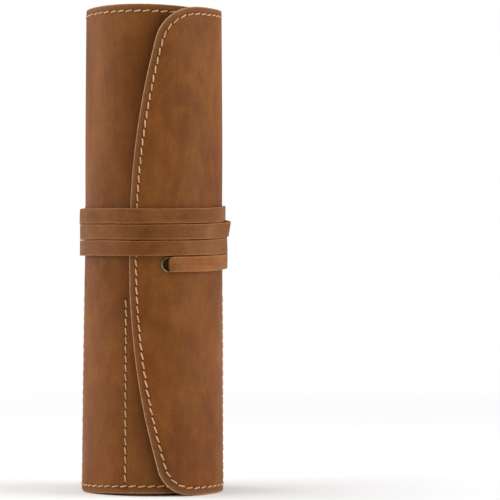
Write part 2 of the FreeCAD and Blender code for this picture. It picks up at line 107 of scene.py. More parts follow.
TAB_START, TAB_END, TAB_ROOT_HEIGHT, TAB_TIP_HEIGHT = 161.0, 256.5, 113.0, 110.4
TAB_HALF_WIDTH, TAB_TIP_HALF_WIDTH, TAB_SEAM_INSET = 8.4, 0.3, 2.1
TAB_BACK_THICKNESS, TAB_FRONT_THICKNESS, TAB_SKIVING, TAB_SLANT = 1.8, 1.2, 0.62, 0.1


def paired(first, second):
    """Two numbers for each place, as an array of pairs."""
    return np.stack(np.broadcast_arrays(first, second), axis=-1)


def outwards(angle):
    """The level direction that points out of the roll at each angle."""
    return paired(np.sin(np.radians(angle)), -np.cos(np.radians(angle)))


def onwards(angle):
    """The level direction in which the angle grows."""
    return paired(np.cos(np.radians(angle)), np.sin(np.radians(angle)))


UPWARD = np.array([0, 0, 1.0])
EYELET_OUT, EYELET_ASIDE = np.append(outwards(EYELET_ANGLE), 0), np.append(onwards(EYELET_ANGLE), 0)

joint_place = {joint["name"]: np.array(joint["pos_m"]) / MM for joint in frame["joints"]}
AXIS = joint_place["unroll"][:2] - FLAP_RADIUS * outwards(BACK_STARTS)
CENTRES = np.array([
    AXIS,
    joint_place["unroll"][:2] - BACK_RADIUS * outwards(BACK_STARTS),
    joint_place["unroll_panel_5"][:2] - CORE_RADIUS * outwards(CORE_STARTS),
])

# Arc length along the outer face against angle, from the front.
ANGLE_KNOTS = np.array([-40.0, BACK_STARTS, CORE_STARTS, 440.0])
ALONG_KNOTS = np.radians(ANGLE_KNOTS[0]) * FLAP_RADIUS + np.concatenate(
    [[0], np.cumsum(np.radians(np.diff(ANGLE_KNOTS)) * RADII)]
)


def along_at(angle):
    return np.interp(angle, ANGLE_KNOTS, ALONG_KNOTS)


def angle_at(along):
    return np.interp(along, ALONG_KNOTS, ANGLE_KNOTS)


def arc_at(angle):
    """Which of the sheet's three arcs each angle belongs to."""
    return np.searchsorted([BACK_STARTS, CORE_STARTS], angle)


def smooth(value, start, end):
    """0 before start, 1 after end, and smooth between them."""
    share = np.clip((np.asarray(value, float) - start) / (end - start), 0, 1)
    return share * share * (3 - 2 * share)


def stepped(value, changes):
    """The sum of smooth changes, each given as (start, end, change)."""
    return sum(change * smooth(value, start, end) for start, end, change in changes)


def waves(value, terms):
    """The sum of gentle waves, each given as (half its height, how far it runs in a radian, its phase)."""
    return sum(height * np.sin(value / reach + phase) for height, reach, phase in terms)


def bell(value, width, power=2):
    """1 where the value is 0, and falling away to nothing over about this width."""
    return np.exp(-((value / width) ** power))


def at_height(flat, level):
    """Level points, raised to their heights."""
    return np.concatenate([flat, level[..., None]], axis=-1)


def rounding(edge, radius):
    """How far a face falls away towards its cut edge, as a quarter circle."""
    return radius - np.sqrt(radius**2 - np.clip(radius - edge, 0, radius) ** 2)


# ---- the roll's own unevenness

TAPER, LEAN, STRAP_SQUEEZE, SQUEEZE_REACH, STRAP_MIDDLE = 0.85, 0.6, 0.3, 24.0, 101.0
SWELL, TOP_WAVE = 0.16, 0.45


def settle(points):
    """Every layer's shared departure from a true cylinder: taper, lean, soft swells and the strap's pull."""
    offset, level = points[..., :2] - AXIS, points[..., 2]
    share = level / HEIGHT
    turn = np.arctan2(offset[..., 0], -offset[..., 1])
    swell = TAPER * (1 - 2 * share) - STRAP_SQUEEZE * bell(level - STRAP_MIDDLE, SQUEEZE_REACH)
    swell = swell + SWELL * (np.sin(2 * turn + 1.3 + 3.4 * share) + 0.6 * np.sin(3 * turn - 5.5 * share))
    moved = AXIS + offset * (1 + swell / FLAP_RADIUS)[..., None] + paired(LEAN * share, 0)
    return at_height(moved, level + TOP_WAVE * share**3 * np.sin(2 * turn + 2.4))


BOW_CENTRE = np.array([EDGE_REACH + EDGE_BOW, EDGE_MIDDLE])
FLAP_SIDE = 80.0  # the bowed edge and its lift lie at smaller angles than this


def flap_corners():
    """Each rounded corner: its centre from the axis, 1 for the upper or -1 for the lower, and its radius."""
    corners = []
    for level, upwards, radius in ((HEIGHT - UPPER_ROUND, 1, UPPER_ROUND), (LOWER_ROUND, -1, LOWER_ROUND)):
        across = math.sqrt((EDGE_BOW - radius) ** 2 - (level - EDGE_MIDDLE) ** 2)
        corners.append((np.array([BOW_CENTRE[0] - across, level]), upwards, radius))
    return corners


def flap_edge(height):
    """X of the flap's free edge from the axis, as seen from the front: a long bow with rounded corners."""
    edge = BOW_CENTRE[0] - np.sqrt(EDGE_BOW**2 - (height - EDGE_MIDDLE) ** 2)
    for corner, upwards, radius in flap_corners():
        out = (height - corner[1]) * upwards
        tangent = (EDGE_MIDDLE - corner[1]) * upwards / (EDGE_BOW - radius) * -radius
        rounded = corner[0] - np.sqrt(np.maximum(radius**2 - out**2, 0))
        edge = np.where(out > tangent, rounded, edge)
    return edge


def flap_edge_angle(height):
    return np.degrees(np.arcsin(flap_edge(height) / FLAP_RADIUS))


def edge_distance(along, height):
    """How far a place on the sheet is from the nearest cut edge."""
    distance = np.minimum(np.minimum(height, HEIGHT - height), along_at(SHEET_ENDS) - along)
    angle = angle_at(along)
    across = FLAP_RADIUS * np.sin(np.radians(np.minimum(angle, 90)))
    flap = np.minimum(distance, EDGE_BOW - np.hypot(across - BOW_CENTRE[0], height - EDGE_MIDDLE))
    for corner, upwards, radius in flap_corners():
        x, z = across - corner[0], (height - corner[1]) * upwards
        towards = (corner - BOW_CENTRE) * [1, upwards]
        towards = towards / np.hypot(*towards)
        sideways = x / towards[0]
        in_corner = (sideways > 0) & (z - sideways * towards[1] > 0)
        flap = np.where(in_corner, radius - np.hypot(x, z), flap)
    return np.maximum(np.where(angle < FLAP_SIDE, flap, distance), 0)


LIFT_LOW, LIFT_HIGH, LIFT_REACH, STRAP_PRESS, FLAP_DROP, INNER_RISE = 1.5, 1.0, 17.0, 0.45, 0.7, 0.9
# The heights or angles between which each of these grows or fades.
LOW_FADE, FOOT_GROWTH, HIGH_GROWTH = (22, 78), (0, 24), (122, 172)
PRESS_GROWTH, PRESS_FADE = (76, 88), (112, 124)
DROP_HEIGHTS, DROP_ANGLES, RISE_HEIGHTS, RISE_ANGLES = (120, HEIGHT), (10, 60), (0, 110), (285, 350)


def flap_lift(along, height):
    """How far the flap's free edge stands away from the roll, and how far the strap presses it in."""
    angle = angle_at(along)
    inwards = (angle - flap_edge_angle(height)) * math.radians(FLAP_RADIUS)
    low = LIFT_LOW * (1 - smooth(height, *LOW_FADE)) * (0.55 + 0.45 * smooth(height, *FOOT_GROWTH))
    high = LIFT_HIGH * smooth(height, *HIGH_GROWTH)
    press = STRAP_PRESS * smooth(height, *PRESS_GROWTH) * (1 - smooth(height, *PRESS_FADE))
    return np.where(angle < FLAP_SIDE, (low + high - press) * (1 - smooth(inwards, 0, LIFT_REACH)) ** 1.5, 0)


def sheet_point(along, height, depth):
    """A place on the rolled sheet in space."""
    along, height, depth = np.broadcast_arrays(along, height, depth)
    angle = angle_at(along)
    arc = arc_at(angle)
    radius = RADII[arc] - depth + flap_lift(along, height)
    level = CENTRES[arc] + radius[..., None] * outwards(angle)
    height = height - FLAP_DROP * smooth(height, *DROP_HEIGHTS) * (1 - smooth(angle, *DROP_ANGLES))
    height = height + INNER_RISE * (1 - smooth(height, *RISE_HEIGHTS)) * smooth(angle, *RISE_ANGLES)
    return settle(at_height(level, height))


# ---- zones: one for each fold of the sheet

CUTS = [0.0] + [(FOLDS[k] + FOLDS[k + 1]) / 2 for k in range(5)] + [SHEET_ENDS]
DIVIDERS = [fold + DIVIDER_LAG for fold in FOLDS[1:-1]] + [FOLDS[-1] + FRONT_DIVIDER_LAG]
FOLD_REACH = 4.7
ZONES = range(len(FOLDS))


def zone_at(along):
    """The zone that each place of the sheet belongs to."""
    return np.searchsorted(along_at(CUTS[1:-1]), along)


def replaced_nodes(kind, zone):
    """The CAD nodes that a zone's piece stands for."""
    names = BODIES[:2] if zone == 0 else [BODIES[zone + 1]]
    return [f"{kind}_{name}" for name in names]


def bend_with_fold(piece, zone):
    """Bake the piece's transform into its mesh. The fold's reach and the sheet's points on both sides of the
    fold are worked out, but the piece is not made to bend.
    """
    radius = FLAP_RADIUS if zone < 2 else BACK_RADIUS
    reach = math.degrees(FOLD_REACH / radius)
    ends = [sheet_point(along_at(FOLDS[zone] + side * reach), HEIGHT / 2, 0.0) for side in (-1, 1)]
    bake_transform(piece)


# ---- making meshes


def add_piece(name, points, faces, material, uv, marks, normals=None):
    """A mesh object from points in millimetres. `marks` holds edge wear, seam (with the painted shade beside
    the flap's edge) and hole, which is painted shade in the stitch holes, for each point.
    """
    points, uv, marks = points.reshape(-1, 3), uv.reshape(-1, 2), marks.reshape(-1, 3)
    mesh = bpy.data.meshes.new(name)
    mesh.from_pydata((points * MM).tolist(), [], faces)
    mesh.polygons.foreach_set("use_smooth", np.ones(len(mesh.polygons), bool))
    corner_points = np.zeros(len(mesh.loops), np.int32)
    mesh.loops.foreach_get("vertex_index", corner_points)
    layer = mesh.uv_layers.new(name="UVMap")
    layer.data.foreach_set("uv", (uv / 100)[corner_points].astype(np.float32).ravel())
    attribute = mesh.attributes.new("marks", "FLOAT_COLOR", "POINT")
    full = np.concatenate([marks, np.ones((len(marks), 1))], axis=1)
    attribute.data.foreach_set("color", full.astype(np.float32).ravel())
    mesh.materials.append(material)
    mesh.update()
    if normals is not None:
        mesh.normals_split_custom_set_from_vertices(normals.tolist())
    piece = bpy.data.objects.new(name, mesh)
    bpy.context.scene.collection.objects.link(piece)
    return piece


def grid_normals(points):
    """Unit normals of a grid whose first index runs onwards and whose second runs upwards."""
    normals = np.cross(np.gradient(points, axis=0), np.gradient(points, axis=1))
    return normals / np.maximum(np.linalg.norm(normals, axis=-1, keepdims=True), 1e-9)


def grid_solid(name, outer, inner, material, uv, marks, keep=None, ghosts=(0, 0)):
    """A closed solid between two grids of points, with walls round every edge of the cells to keep.

    `ghosts` counts the columns at each end that only help the normals to run on into the next piece."""
    kept = slice(ghosts[0], outer.shape[0] - ghosts[1])
    normals = np.stack([grid_normals(outer)[kept], -grid_normals(inner)[kept]]).reshape(-1, 3)
    outer, inner, uv, marks = outer[kept], inner[kept], uv[kept], marks[kept]
    columns, rows = outer.shape[:2]
    if keep is None:
        keep = np.ones((columns - 1, rows - 1), bool)
    under = columns * rows
    index = np.arange(under).reshape(columns, rows)
    corners = [index[:-1, :-1], index[1:, :-1], index[1:, 1:], index[:-1, 1:]]
    quads = np.stack(corners, axis=-1)[keep]
    groups = [quads, quads[:, ::-1] + under]
    padded = np.pad(keep, 1)
    beside = [padded[1:-1, :-2], padded[2:, 1:-1], padded[1:-1, 2:], padded[:-2, 1:-1]]
    for side, neighbour in enumerate(beside):
        open_side = keep & ~neighbour
        first, second = corners[side][open_side], corners[(side + 1) % 4][open_side]
        groups.append(np.stack([second, first, first + under, second + under], axis=-1))
    used, faces = np.unique(np.concatenate(groups), return_inverse=True)
    points = np.stack([outer, inner]).reshape(-1, 3)[used]
    uv = np.tile(uv.reshape(-1, 2), (2, 1))[used]
    marks = np.tile(marks.reshape(-1, 3), (2, 1))[used]
    return add_piece(name, points, faces.reshape(-1, 4).tolist(), material, uv, marks, normals[used])


def tube_faces(count, rings, sides, first_up):
    """Faces of closed tubes, each of so many rings, with both ends capped."""
    index = np.arange(count * rings * sides).reshape(count, rings, sides)
    following = np.roll(index, -1, axis=2)
    corners = [index[:, :-1], following[:, :-1], following[:, 1:], index[:, 1:]]
    quads = np.stack(corners, axis=-1).reshape(-1, 4)
    faces = (quads[:, ::-1] if first_up else quads).tolist()
    order = 1 if first_up else -1
    for tube in index:
        faces += [tube[0, ::order].tolist(), tube[-1, ::-order].tolist()]
    return faces


def add_tubes(name, rings, material, uv, marks):
    """Closed tubes from an array of (tube, ring, side) points."""
    centre = rings[0, :2].mean(axis=1)
    spoke = rings[0, 0, :2] - centre[0]
    first_up = np.dot(np.cross(spoke[0], spoke[1]), centre[1] - centre[0]) < 0
    return add_piece(name, rings, tube_faces(*rings.shape[:3], first_up), material, uv, marks)


def add_ring(name, profile, material, sides=56):
    """A closed ring about the eyelet's axis, from a closed profile of (radius, stand-off) points."""
    turn = np.linspace(0, 2 * math.pi, sides, endpoint=False)
    spoke = np.cos(turn)[:, None] * EYELET_ASIDE + np.sin(turn)[:, None] * UPWARD
    radius, stand_off = profile.T
    centre = np.append(AXIS, EYELET_HEIGHT) + (FLAP_RADIUS + stand_off)[None, :, None] * EYELET_OUT
    points = settle(centre + radius[None, :, None] * spoke[:, None, :])
    index = np.arange(sides * len(profile)).reshape(sides, -1)
    across, round_it = np.roll(index, -1, axis=1), np.roll(index, -1, axis=0)
    faces = np.stack([index, across, np.roll(round_it, -1, axis=1), round_it], axis=-1).reshape(-1, 4)
    run = np.cumsum(np.hypot(np.gradient(radius), np.gradient(stand_off)))
    uv = paired((turn * EYELET_RADIUS)[:, None], run)
    marks = np.zeros((index.size, 3))
    marks[:, 0] = np.tile(smooth(stand_off, 0.2, EYELET_FLANGE), sides)
    return add_piece(name, points, faces.tolist(), material, uv, marks)


# ---- materials


class Nodes:
    """The shader nodes of a material or a world, built from nothing."""

    def __init__(self, owner):
        owner.use_nodes = True
        self.tree = owner.node_tree
        self.tree.nodes.clear()

    def add(self, kind, inputs=(), **settings):
        """A new node, with a value or a link for each input that is given."""
        node = self.tree.nodes.new(f"ShaderNode{kind}")
        for key, value in settings.items():
            setattr(node, key, value)
        for key, value in dict(inputs).items():
            self.put(node.inputs[key], value)
        return node

    def put(self, socket, value):
        if isinstance(value, bpy.types.NodeSocket):
            self.tree.links.new(value, socket)
        else:
            socket.default_value = value


class Paint(Nodes):
    """A procedural material on the sheet's own flat coordinates, in units of 100 mm."""

    def __init__(self, name):
        self.material = bpy.data.materials.new(name)
        super().__init__(self.material)
        self.surface = self.add("BsdfPrincipled")
        self.add("OutputMaterial", {"Surface": self.surface.outputs["BSDF"]})
        self.flat = self.add("UVMap").outputs["UV"]
        # Marks: red is edge wear; green darkens along seams and also holds painted shade beside the flap's
        # edge; blue is painted shade in the stitch holes.
        marks = self.add("Attribute", attribute_name="marks").outputs["Color"]
        channels = self.add("SeparateColor", {"Color": marks}).outputs
        self.edge, self.seam, self.hole = channels["Red"], channels["Green"], channels["Blue"]

    def stretched(self, across, up, aside=0.0):
        """The flat coordinates, stretched: larger numbers give finer detail in that direction."""
        inputs = {"Vector": self.flat, "Scale": (across, up, 1.0), "Location": (aside, aside * 0.7, aside)}
        return self.add("Mapping", inputs).outputs["Vector"]

    def noise(self, stretch, scale, detail=3.0, roughness=0.55, distortion=0.0):
        inputs = {"Vector": self.stretched(*stretch), "Scale": scale, "Detail": detail}
        inputs.update({"Roughness": roughness, "Distortion": distortion})
        return self.add("TexNoise", inputs).outputs[0]

    def cells(self, stretch, scale, feature="F1"):
        inputs = {"Vector": self.stretched(*stretch), "Scale": scale}
        return self.add("TexVoronoi", inputs, feature=feature).outputs["Distance"]

    def ramp(self, value, low, high, to_low=0.0, to_high=1.0):
        inputs = {"Value": value, "From Min": low, "From Max": high, "To Min": to_low, "To Max": to_high}
        return self.add("MapRange", inputs, interpolation_type="SMOOTHSTEP").outputs["Result"]

    def sum(self, *terms):
        """The weighted sum of (value, weight) pairs."""
        total = 0.0
        for value, weight in terms:
            total = self.add("Math", {0: value, 1: weight, 2: total}, operation="MULTIPLY_ADD").outputs[0]
        return total

    def times(self, first, second):
        return self.add("Math", {0: first, 1: second}, operation="MULTIPLY").outputs[0]

    def mix(self, share, first, second):
        return self.add("Mix", {0: share, 6: first, 7: second}, data_type="RGBA").outputs[2]

    def tinted(self, colour, tints):
        """Lay tints over a colour: each from none of it at one value of its field to the most at another."""
        for field, none_at, most_at, most, tint in tints:
            colour = self.mix(self.ramp(field, none_at, most_at, 0.0, most), colour, tint)
        return colour

    def washed(self, colour, washes):
        """Lay washes over a colour, each as strong as its field times its strength."""
        for field, strength, wash in washes:
            colour = self.mix(self.times(field, strength), colour, wash)
        return colour

    def finish(self, colour, roughness, height, depth_mm, **fixed):
        """Join colour, roughness and bump to the surface, and set the sockets that are even all over."""
        bump = self.add("Bump", {"Height": height, "Strength": 1.0, "Distance": depth_mm * MM})
        joined_sockets = {"Base Color": colour, "Roughness": roughness, "Normal": bump.outputs["Normal"]}
        for key, value in joined_sockets.items():
            self.put(self.surface.inputs[key], value)
        for key, value in fixed.items():
            self.surface.inputs[key.replace("_", " ")].default_value = value
        return self.material


def display(red, green, blue):
    """A colour given as display values from 0 to 255, as the linear colour that a shader takes."""
    linear = [v / 255 / 12.92 if v <= 10 else ((v / 255 + 0.055) / 1.055) ** 2.4 for v in (red, green, blue)]
    return (*linear, 1.0)


def leather(name, shades, patch=3.2, grain_up=1.0, aside=0.0, wear=1.0, fibres=0.0):
    """Waxed pull-up leather: clouds of dark and light, fine grain, pores, scratches and pale cut edges.

    `shades` are its dark, middle, light, reddish and cut-edge colours, as display values."""
    dark, middle, light, red, edge_colour = (display(*shade) for shade in shades)
    paint = Paint(name)
    deep = (dark[0] * 0.6, dark[1] * 0.55, dark[2] * 0.5, 1.0)
    clouds = paint.noise((1.0, grain_up, aside), patch, 4.0, 0.6, 0.4)
    blots = paint.noise((1.0, 1.0, aside + 3.1), patch * 2.3, 5.0, 0.62, 0.8)
    mottle = paint.noise((1.0, grain_up, aside), 26.0, 5.0, 0.65)
    redness = paint.noise((1.0, 0.6, aside + 7.7), patch * 1.3, 3.0, 0.5, 0.5)
    rubbed = paint.noise((1.0, 0.8, aside + 6.1), 70.0, 4.0, 0.65, 0.6)
    grain = paint.cells((1.0, 1.0, aside), 190.0)
    creases = paint.cells((1.0, 0.75, aside), 82.0, "DISTANCE_TO_EDGE")
    pores = paint.cells((1.0, 1.0, aside + 1.9), 330.0)
    scratch_field = paint.noise((1.1, 0.09, aside + 5.3), 88.0, 2.0, 0.4, 1.6)
    cross_field = paint.noise((0.1, 0.8, aside + 9.1), 70.0, 2.0, 0.4, 2.2)
    drawn = paint.noise((0.1, 2.4, aside + 2.7), 62.0, 4.0, 0.6, 0.5)
    scratches = paint.times(paint.ramp(scratch_field, 0.66, 0.72), paint.ramp(clouds, 0.4, 0.65))
    nicks = paint.times(paint.ramp(cross_field, 0.7, 0.74), paint.ramp(blots, 0.48, 0.62))
    worn = paint.times(paint.edge, paint.ramp(rubbed, 0.3, 0.62, 0.5 * wear, 1.0 * wear))

    colour = paint.tinted(dark, [
        (clouds, 0.3, 0.56, 1.0, middle),
        (clouds, 0.5, 0.78, 1.0, light),
        (redness, 0.46, 0.74, 0.6, red),
        (blots, 0.5, 0.72, 0.3, light),
        (blots, 0.5, 0.28, 0.3, dark),
        (mottle, 0.42, 0.72, 0.26, light),
        (mottle, 0.5, 0.26, 0.3, dark),
        (creases, 0.16, 0.0, 0.16, dark),
    ])
    colour = paint.washed(colour, [(scratches, 0.4, light), (nicks, 0.32, light)])
    colour = paint.tinted(colour, [(drawn, 0.42, 0.72, fibres, light), (drawn, 0.46, 0.26, fibres, dark)])
    # Painted shade: the seam mark darkens towards deep, which also paints the flap's shadow beside its edge,
    # and the hole mark paints shade into the stitch holes.
    colour = paint.washed(colour, [
        (paint.seam, 0.55, deep), (worn, 1.0, edge_colour), (paint.hole, 0.62, display(48, 25, 12)),
    ])
    roughness = paint.sum(
        (clouds, -0.22), (mottle, 0.16), (paint.edge, 0.25), (scratches, 0.1),
        (paint.ramp(blots, 0.3, 0.7, 0.46, 0.58), 1.0),
    )
    height = paint.sum(
        (grain, 0.5), (paint.ramp(creases, 0.0, 0.2), 0.6), (pores, 0.25), (mottle, 1.2),
        (scratches, -0.5), (nicks, -0.5),
    )
    return paint.finish(colour, roughness, height, 0.09, Specular_IOR_Level=0.09)


def suede(name, shades, aside):
    """The napped side of a thin leather: short fibres, brushed patches and a fuzzy sheen."""
    dark, light, edge_colour = (display(*shade) for shade in shades)
    paint = Paint(name)
    clouds = paint.noise((1.0, 1.0, aside), 3.5, 5.0, 0.6, 0.2)
    nap = paint.noise((1.0, 0.45, aside), 210.0, 5.0, 0.75, 1.0)
    brushed = paint.noise((1.0, 0.4, aside + 2.0), 22.0, 4.0, 0.6, 0.5)
    colour = paint.tinted(dark, [
        (clouds, 0.15, 0.85, 1.0, light), (brushed, 0.45, 0.7, 0.3, light), (nap, 0.52, 0.3, 0.4, dark),
    ])
    # The hole mark paints shade into the stitch holes.
    colour = paint.washed(colour, [(paint.edge, 0.7, edge_colour), (paint.hole, 0.75, display(46, 26, 14))])
    roughness = paint.ramp(clouds, 0.2, 0.8, 0.78, 0.92)
    height = paint.sum((nap, 1.0), (brushed, 0.8))
    sheen = {"Sheen_Weight": 0.25, "Sheen_Roughness": 0.5}
    return paint.finish(colour, roughness, height, 0.12, Specular_IOR_Level=0.25, **sheen)


def thread_paint(name):
    """Waxed two-ply linen thread: slanting strands, darker where it is soiled."""
    paint = Paint(name)
    strands = paint.add("TexWave", {
        "Vector": paint.stretched(1.0, 1.4), "Scale": 118.0, "Distortion": 0.6, "Detail": 1.0,
    }, wave_type="BANDS", bands_direction="DIAGONAL").outputs["Fac"]
    soil = paint.noise((1.0, 1.0, 4.0), 24.0, 3.0, 0.6)
    fibres = paint.noise((1.0, 0.2, 2.0), 420.0, 2.0, 0.6)
    colour = paint.tinted(display(184, 132, 84), [
        (strands, 0.1, 0.8, 1.0, display(236, 190, 138)),
        (soil, 0.45, 0.7, 0.55, display(160, 106, 64)),
        (fibres, 0.55, 0.8, 0.3, display(232, 196, 152)),
    ])
    # Painted shade where the thread's ends go into their holes.
    colour = paint.washed(colour, [(paint.hole, 0.75, display(70, 40, 22))])
    roughness = paint.ramp(soil, 0.3, 0.7, 0.5, 0.68)
    height = paint.sum((strands, 1.0), (fibres, 0.35))
    sheen = {"Sheen_Weight": 0.12, "Sheen_Roughness": 0.4}
    return paint.finish(colour, roughness, height, 0.07, Specular_IOR_Level=0.4, **sheen)


def brass_paint(name):
    """Aged brass: rubbed bright on the rim, dark and olive where hands don't reach."""
    paint = Paint(name)
    patina = paint.noise((1.0, 1.0), 42.0, 5.0, 0.65, 0.7)
    specks = paint.noise((1.0, 1.0, 3.0), 260.0, 3.0, 0.6)
    scuffs = paint.noise((0.25, 2.4, 1.0), 150.0, 2.0, 0.5)
    rubbed = paint.ramp(patina, 0.35, 0.65, 0.3, 0.9)
    colour = paint.tinted(display(62, 56, 38), [(patina, 0.3, 0.7, 1.0, display(94, 86, 60))])
    colour = paint.washed(colour, [(paint.edge, rubbed, display(136, 126, 92))])
    colour = paint.tinted(colour, [(specks, 0.6, 0.75, 0.6, display(58, 52, 36))])
    roughness = paint.sum((patina, 0.3), (specks, 0.18), (paint.edge, -0.12), (scuffs, 0.12))
    height = paint.sum((patina, 0.6), (specks, 0.5), (scuffs, 0.3))
    return paint.finish(colour, roughness, height, 0.035, Metallic=0.85)


OUTER_SHADES = [(98, 52, 18), (118, 69, 27), (142, 92, 42), (122, 60, 24), (190, 146, 106)]
STRAP_SHADES = [(106, 60, 26), (127, 78, 37), (157, 108, 60), (134, 66, 31), (176, 128, 80)]
TAB_SHADES = [(104, 62, 26), (128, 82, 38), (152, 104, 54), (120, 68, 32), (176, 128, 80)]
POCKET_SHADES = [(84, 44, 20), (108, 62, 30), (132, 82, 44), (104, 52, 26), (172, 122, 80)]
outer_leather = leather("outer_leather", OUTER_SHADES, grain_up=0.42)
strap_leather = leather("strap_leather", STRAP_SHADES, patch=5.0, aside=4.4, wear=0.6, fibres=0.3)
tab_leather = leather("tab_leather", TAB_SHADES, patch=4.0, aside=8.3)
pocket_leather = leather("pocket_leather", POCKET_SHADES, patch=4.0, aside=2.6)
lining_suede = suede("lining_suede", [(128, 90, 58), (168, 126, 88), (196, 152, 110)], 6.0)
thread = thread_paint("waxed_thread")
antique_brass = brass_paint("antique_brass")

# ---- stitching: its route and its holes


def perimeter_route():
    """The seam inside the sheet's cut edges, as (along, height) points from the inner bottom corner."""
    low, high, end = SEAM_INSET, HEIGHT - SEAM_INSET, along_at(SHEET_ENDS) - SEAM_INSET
    (upper, _, upper_round), (lower, _, lower_round) = flap_corners()
    turns = [math.atan2(*(corner - BOW_CENTRE)[::-1]) % (2 * math.pi) for corner in (lower, upper)]
    stretches = [
        (lower, lower_round, 1.5 * math.pi, turns[0]),
        (BOW_CENTRE, EDGE_BOW, turns[0], turns[1]),
        (upper, upper_round, turns[1], 0.5 * math.pi),
    ]
    route = [np.array([[end, low]])]
    for centre, radius, first, last in stretches:
        turn = np.linspace(first, last, 160)
        across = centre[0] + (radius - SEAM_INSET) * np.cos(turn)
        along = np.arcsin(across / FLAP_RADIUS) * FLAP_RADIUS
        route.append(paired(along, centre[1] + (radius - SEAM_INSET) * np.sin(turn)))
    route.append(np.array([[end, high], [end, low]]))
    return np.concatenate(route)


def measured(route):
    """Distance along a route at each of its points."""
    return np.append(0, np.cumsum(np.linalg.norm(np.diff(route, axis=0), axis=1)))


def places_along(route, shares):
    """The points at these shares of a flat route's length."""
    run = measured(route)
    return paired(*(np.interp(shares * run[-1], run, route[:, axis]) for axis in (0, 1)))


def seam_holes(route, pitch):
    """Evenly pitched holes along a route."""
    return places_along(route, np.linspace(0, 1, max(2, round(measured(route)[-1] / pitch)) + 1))


def divider_route(index):
    """A pocket's row of stitching. The front's stops a little lower than the others."""
    along = float(along_at(DIVIDERS[index]))
    top = POCKET_HEIGHT - (2.3 if index == len(DIVIDERS) - 1 else 0.6)
    return np.array([[along, SEAM_INSET + 1.2], [along, top]])


perimeter_holes = seam_holes(perimeter_route(), STITCH_PITCH)
divider_holes = [seam_holes(divider_route(index), STITCH_PITCH) for index in range(len(DIVIDERS))]
all_holes = np.concatenate([perimeter_holes, *divider_holes])

SEAM_PULL, ROW_PULL, ROW_TROUGH, HOLE_DEPTH = 0.14, 0.12, 0.22, 0.34
SEAM_WIDTH, TROUGH_WIDTH, HOLE_RADIUS = 0.5, 2.4, 0.42
BURNISH, BURNISH_INSET, BURNISH_WIDTH = 0.8, 1.5, 0.9


def seam_relief(along, height, edge):
    """How deep the stitching pulls the leather in, with marks for the seam and for its holes; the hole mark
    is painted shade in the stitch holes.
    """
    line = bell(edge - SEAM_INSET, SEAM_WIDTH)
    pull = SEAM_PULL * line
    fade = 1 - smooth(height, POCKET_HEIGHT - 3, POCKET_HEIGHT + 4)
    for divider in DIVIDERS:
        aside = along - along_at(divider)
        row = bell(aside, SEAM_WIDTH) * fade
        line = np.maximum(line, row)
        pull = pull + ROW_PULL * row + ROW_TROUGH * bell(aside, TROUGH_WIDTH) * fade
    hole = np.zeros(along.shape)
    near = line > 0.02
    spots = paired(along[near], height[near])
    local = all_holes[np.abs(all_holes[:, 0] - spots[:, 0].mean()) < np.ptp(spots[:, 0]) / 2 + 5]
    gap = np.hypot(*(spots[:, None, :] - local[None, :, :]).transpose(2, 0, 1)).min(axis=1)
    hole[near] = bell(gap, HOLE_RADIUS)
    burnish = BURNISH * bell(edge - BURNISH_INSET, BURNISH_WIDTH)
    return pull + HOLE_DEPTH * hole, burnish + 0.5 * line, hole


THREAD_SIDES, THREAD_TWIST, PLY_BULGE, THREAD_FLATNESS, STITCH_DIVE = 8, 5.5, 0.1, 0.85, 0.5
STITCH_SHARES = np.array([0.02, 0.07, 0.14, 0.25, 0.4, 0.55, 0.7, 0.82, 0.9, 0.95, 0.98])


def stitch_rings(
    holes, surface, side, placing, radius=THREAD_RADIUS, proud=0.02, slant=0.24, dive=8, trim=0.0,
):
    """Rings of points for one stitch between each pair of holes, on the outside (side 1) or the inside (-1).

    `surface` gives the depth of the face below the stitch, and `placing` turns a place into a point."""
    start, end = holes[:-1, None, :], holes[1:, None, :]
    shares = STITCH_SHARES[None, :, None]
    direction = (end - start) / np.linalg.norm(end - start, axis=-1, keepdims=True)
    lateral = paired(-direction[..., 1], direction[..., 0])
    bend = 2 * shares - 1
    unevenness = np.sin(np.arange(len(start)) * 2.4)[:, None, None]
    middle = start + (end - start) * (trim + (1 - 2 * trim) * shares)
    middle = middle + lateral * (slant * bend + 0.04 * unevenness)
    stand = proud - (proud + STITCH_DIVE) * np.abs(bend) ** dive + 0.03 * unevenness
    turn = np.linspace(0, 2 * math.pi, THREAD_SIDES, endpoint=False)
    size = radius * (1 + PLY_BULGE * np.cos(2 * (turn - THREAD_TWIST * shares)))
    spread = middle[:, :, None, :] + lateral[:, :, None, :] * (size * np.cos(turn))[..., None]
    depth = surface - side * (stand + THREAD_FLATNESS * size * np.sin(turn))
    rings = placing(spread[..., 0], spread[..., 1], depth)
    run = np.arange(len(start))[:, None, None] * 3.7 + shares * STITCH_PITCH
    marks = np.zeros((*rings.shape[:3], 3))
    # Painted shade on the thread's ends, where they dive into the holes.
    marks[..., 2] = smooth(np.abs(bend), 0.8, 1.0)
    return rings, paired(run, turn * radius), marks


def inner_depth(along, height):
    """Depth of the face that one sees on the inside of the sheet."""
    pocketed = (height < POCKET_HEIGHT) & (along > along_at(DIVIDERS[0]) - 1.5)
    return np.where(pocketed, POCKET_FACE, LINING_FACE)


